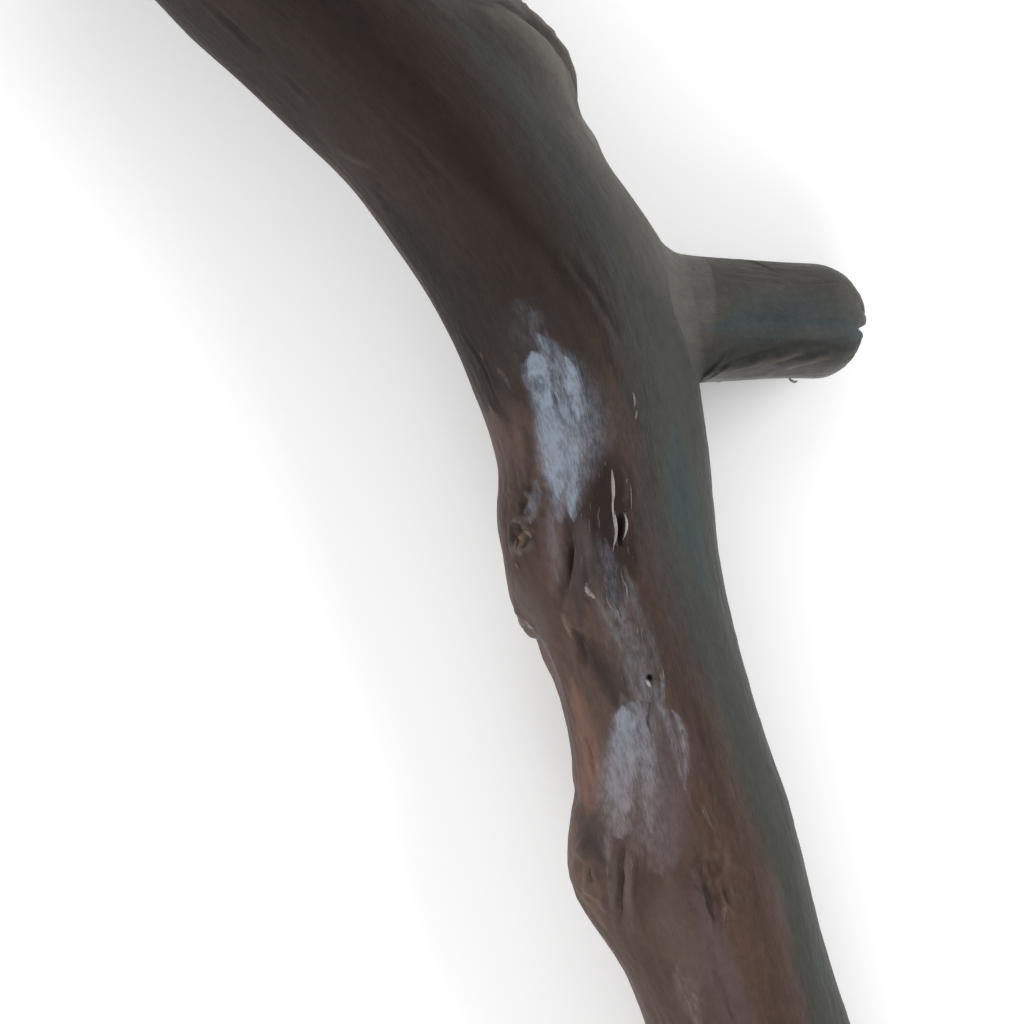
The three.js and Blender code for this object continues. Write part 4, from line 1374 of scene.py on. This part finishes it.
# Shards on the snapped end: each stands on the break, roughly along the limb.
SHARDS = 64
chance = np.random.default_rng(71)
shard_turn = chance.uniform(-180, 180, SHARDS)
shard_share = np.sqrt(chance.uniform(0.03, 0.74, SHARDS))
shard_long = chance.uniform(2, 7.5, SHARDS) * (1.0 - 0.7 * (np.abs(shard_turn) > 115))
shard_wide = chance.uniform(0.35, 1.2, SHARDS)
shard_lean = chance.normal(0, 0.06, (SHARDS, 3))
for turn, share, long, wide, lean in zip(shard_turn, shard_share, shard_long, shard_wide, shard_lean):
    angle = np.array(turn)
    radius = np.interp(turn, limb_turns, bark_radius[-1]) * share
    foot = limb_point(np.array(limb_length), angle, radius)
    foot = foot + spine_ahead[-1] * (torn_height(angle, np.array(share)) - SHARD_ROOT)
    toward = unit(spine_ahead[-1] + lean)
    reach = np.linspace(0, 1, SPINDLE_ROWS)[:, None]
    bow = 0.04 * long * np.sin(np.pi * reach) * (foot - spine_centre[-1]) / 20
    path = foot + toward * (long + SHARD_ROOT) * reach + bow
    outward = np.broadcast_to(foot - spine_centre[-1], path.shape)
    tint = (0.7 + 0.8 * share) * TORN_WOOD
    keep_shard(path, outward, tint, wide, 0.45 * wide, 0.9)

slivers = closed_mesh(
    "slivers_and_splinters",
    np.concatenate(shards),
    np.concatenate(shard_quads),
    np.concatenate(shard_fans),
    {},
    {"grain": np.concatenate(shard_grain), "dye": np.concatenate(shard_dyes_and_glints)},
)


def sliver_material():
    """Dry bare wood: each sliver's own dye, streaked by fine noise, with a matt finish."""
    material, tree = new_material("dry_sliver_wood")
    fine = wood_noise(tree, attribute(tree, "grain", "Vector"), 1.3, 4.0)
    tone = sum_of(tree, 0.55, (fine, 0.9))
    colour = shaded(tree, attribute(tree, "dye", "Vector"), tone)
    finish = {"Base Color": colour, "Roughness": 0.7, "Specular IOR Level": 0.3}
    give_finish(tree, 0.0003, 0.3, fine, finish)
    return material


slivers.data.materials.append(sliver_material())
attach(slivers, "root")


# ----------------------------------------------------------------------
# The floor, the lights and the camera. A plain pale floor under the branch, soft studio light
# that comes from low on its right and fills in from the other sides, and a camera that looks
# straight down on it. Lengths here are in metres.
# ----------------------------------------------------------------------

scene = bpy.context.scene
scene.view_settings.view_transform = "Standard"
scene.view_settings.look = "None"

floor_size = 8.0
floor_mesh = bpy.data.meshes.new("floor")
corners = floor_size / 2 * np.array([(-1, -1, 0), (1, -1, 0), (1, 1, 0), (-1, 1, 0)])
floor_mesh.from_pydata(corners, [], [(0, 1, 2, 3)])
floor = bpy.data.objects.new("floor", floor_mesh)
scene.collection.objects.link(floor)
floor_paint, floor_tree = new_material("pale_floor")
# Besides its pale colour the floor glows faintly, which lifts the shadows on it and lights the branch a
# little from below.
wire(floor_tree, floor_tree.nodes["Principled BSDF"], {
    "Base Color": (0.94, 0.94, 0.94, 1),
    "Emission Color": (1, 1, 1, 1),
    "Emission Strength": 0.14,
    "Roughness": 0.9,
    "Specular IOR Level": 0.1,
})
floor_mesh.materials.append(floor_paint)

world = bpy.data.worlds.new("studio")
world.use_nodes = True
wire(world.node_tree, world.node_tree.nodes["Background"], {"Color": (1, 1, 1, 1), "Strength": 0.4})
scene.world = world

LIGHT_AWAY = 2.4  # from the middle of the branch
LIGHT_SIZE = 2.0


def soft_light(name, bearing, climb, power):
    """A square area light at a bearing from +X and a climb above the floor, which faces the
    middle of the branch."""
    bearing, climb = np.radians(bearing), np.radians(climb)
    data = bpy.data.lights.new(name, "AREA")
    data.size = LIGHT_SIZE
    data.energy = power
    light = bpy.data.objects.new(name, data)
    light.location = (
        LIGHT_AWAY * np.cos(climb) * np.cos(bearing),
        LIGHT_AWAY * np.cos(climb) * np.sin(bearing),
        LIGHT_AWAY * np.sin(climb),
    )
    aim = (cad_low + cad_high) / 2 - light.location
    light.rotation_euler = aim.to_track_quat("-Z", "Y").to_euler()
    scene.collection.objects.link(light)


soft_light("right_panel", 15, 20, 66)
soft_light("left_panel", 190, 22, 30)
soft_light("far_panel", 90, 30, 17)
soft_light("near_panel", -90, 26, 36)

camera_height = 0.5  # above the middle of the limb's thickness
shown_width = 0.256  # of the floor's plane at that height, across the view
across, along = cad_high.x - cad_low.x, cad_high.y - cad_low.y
camera_data = bpy.data.cameras.new("camera")
camera_data.sensor_width = 36
camera_data.lens = camera_data.sensor_width * camera_height / shown_width
camera = bpy.data.objects.new("camera", camera_data)
camera.location = (
    cad_low.x + 0.552 * across,
    cad_low.y + 0.518 * along,
    cad_low.z + 0.46 * (cad_high.z - cad_low.z) + camera_height,
)
scene.collection.objects.link(camera)
scene.camera = camera
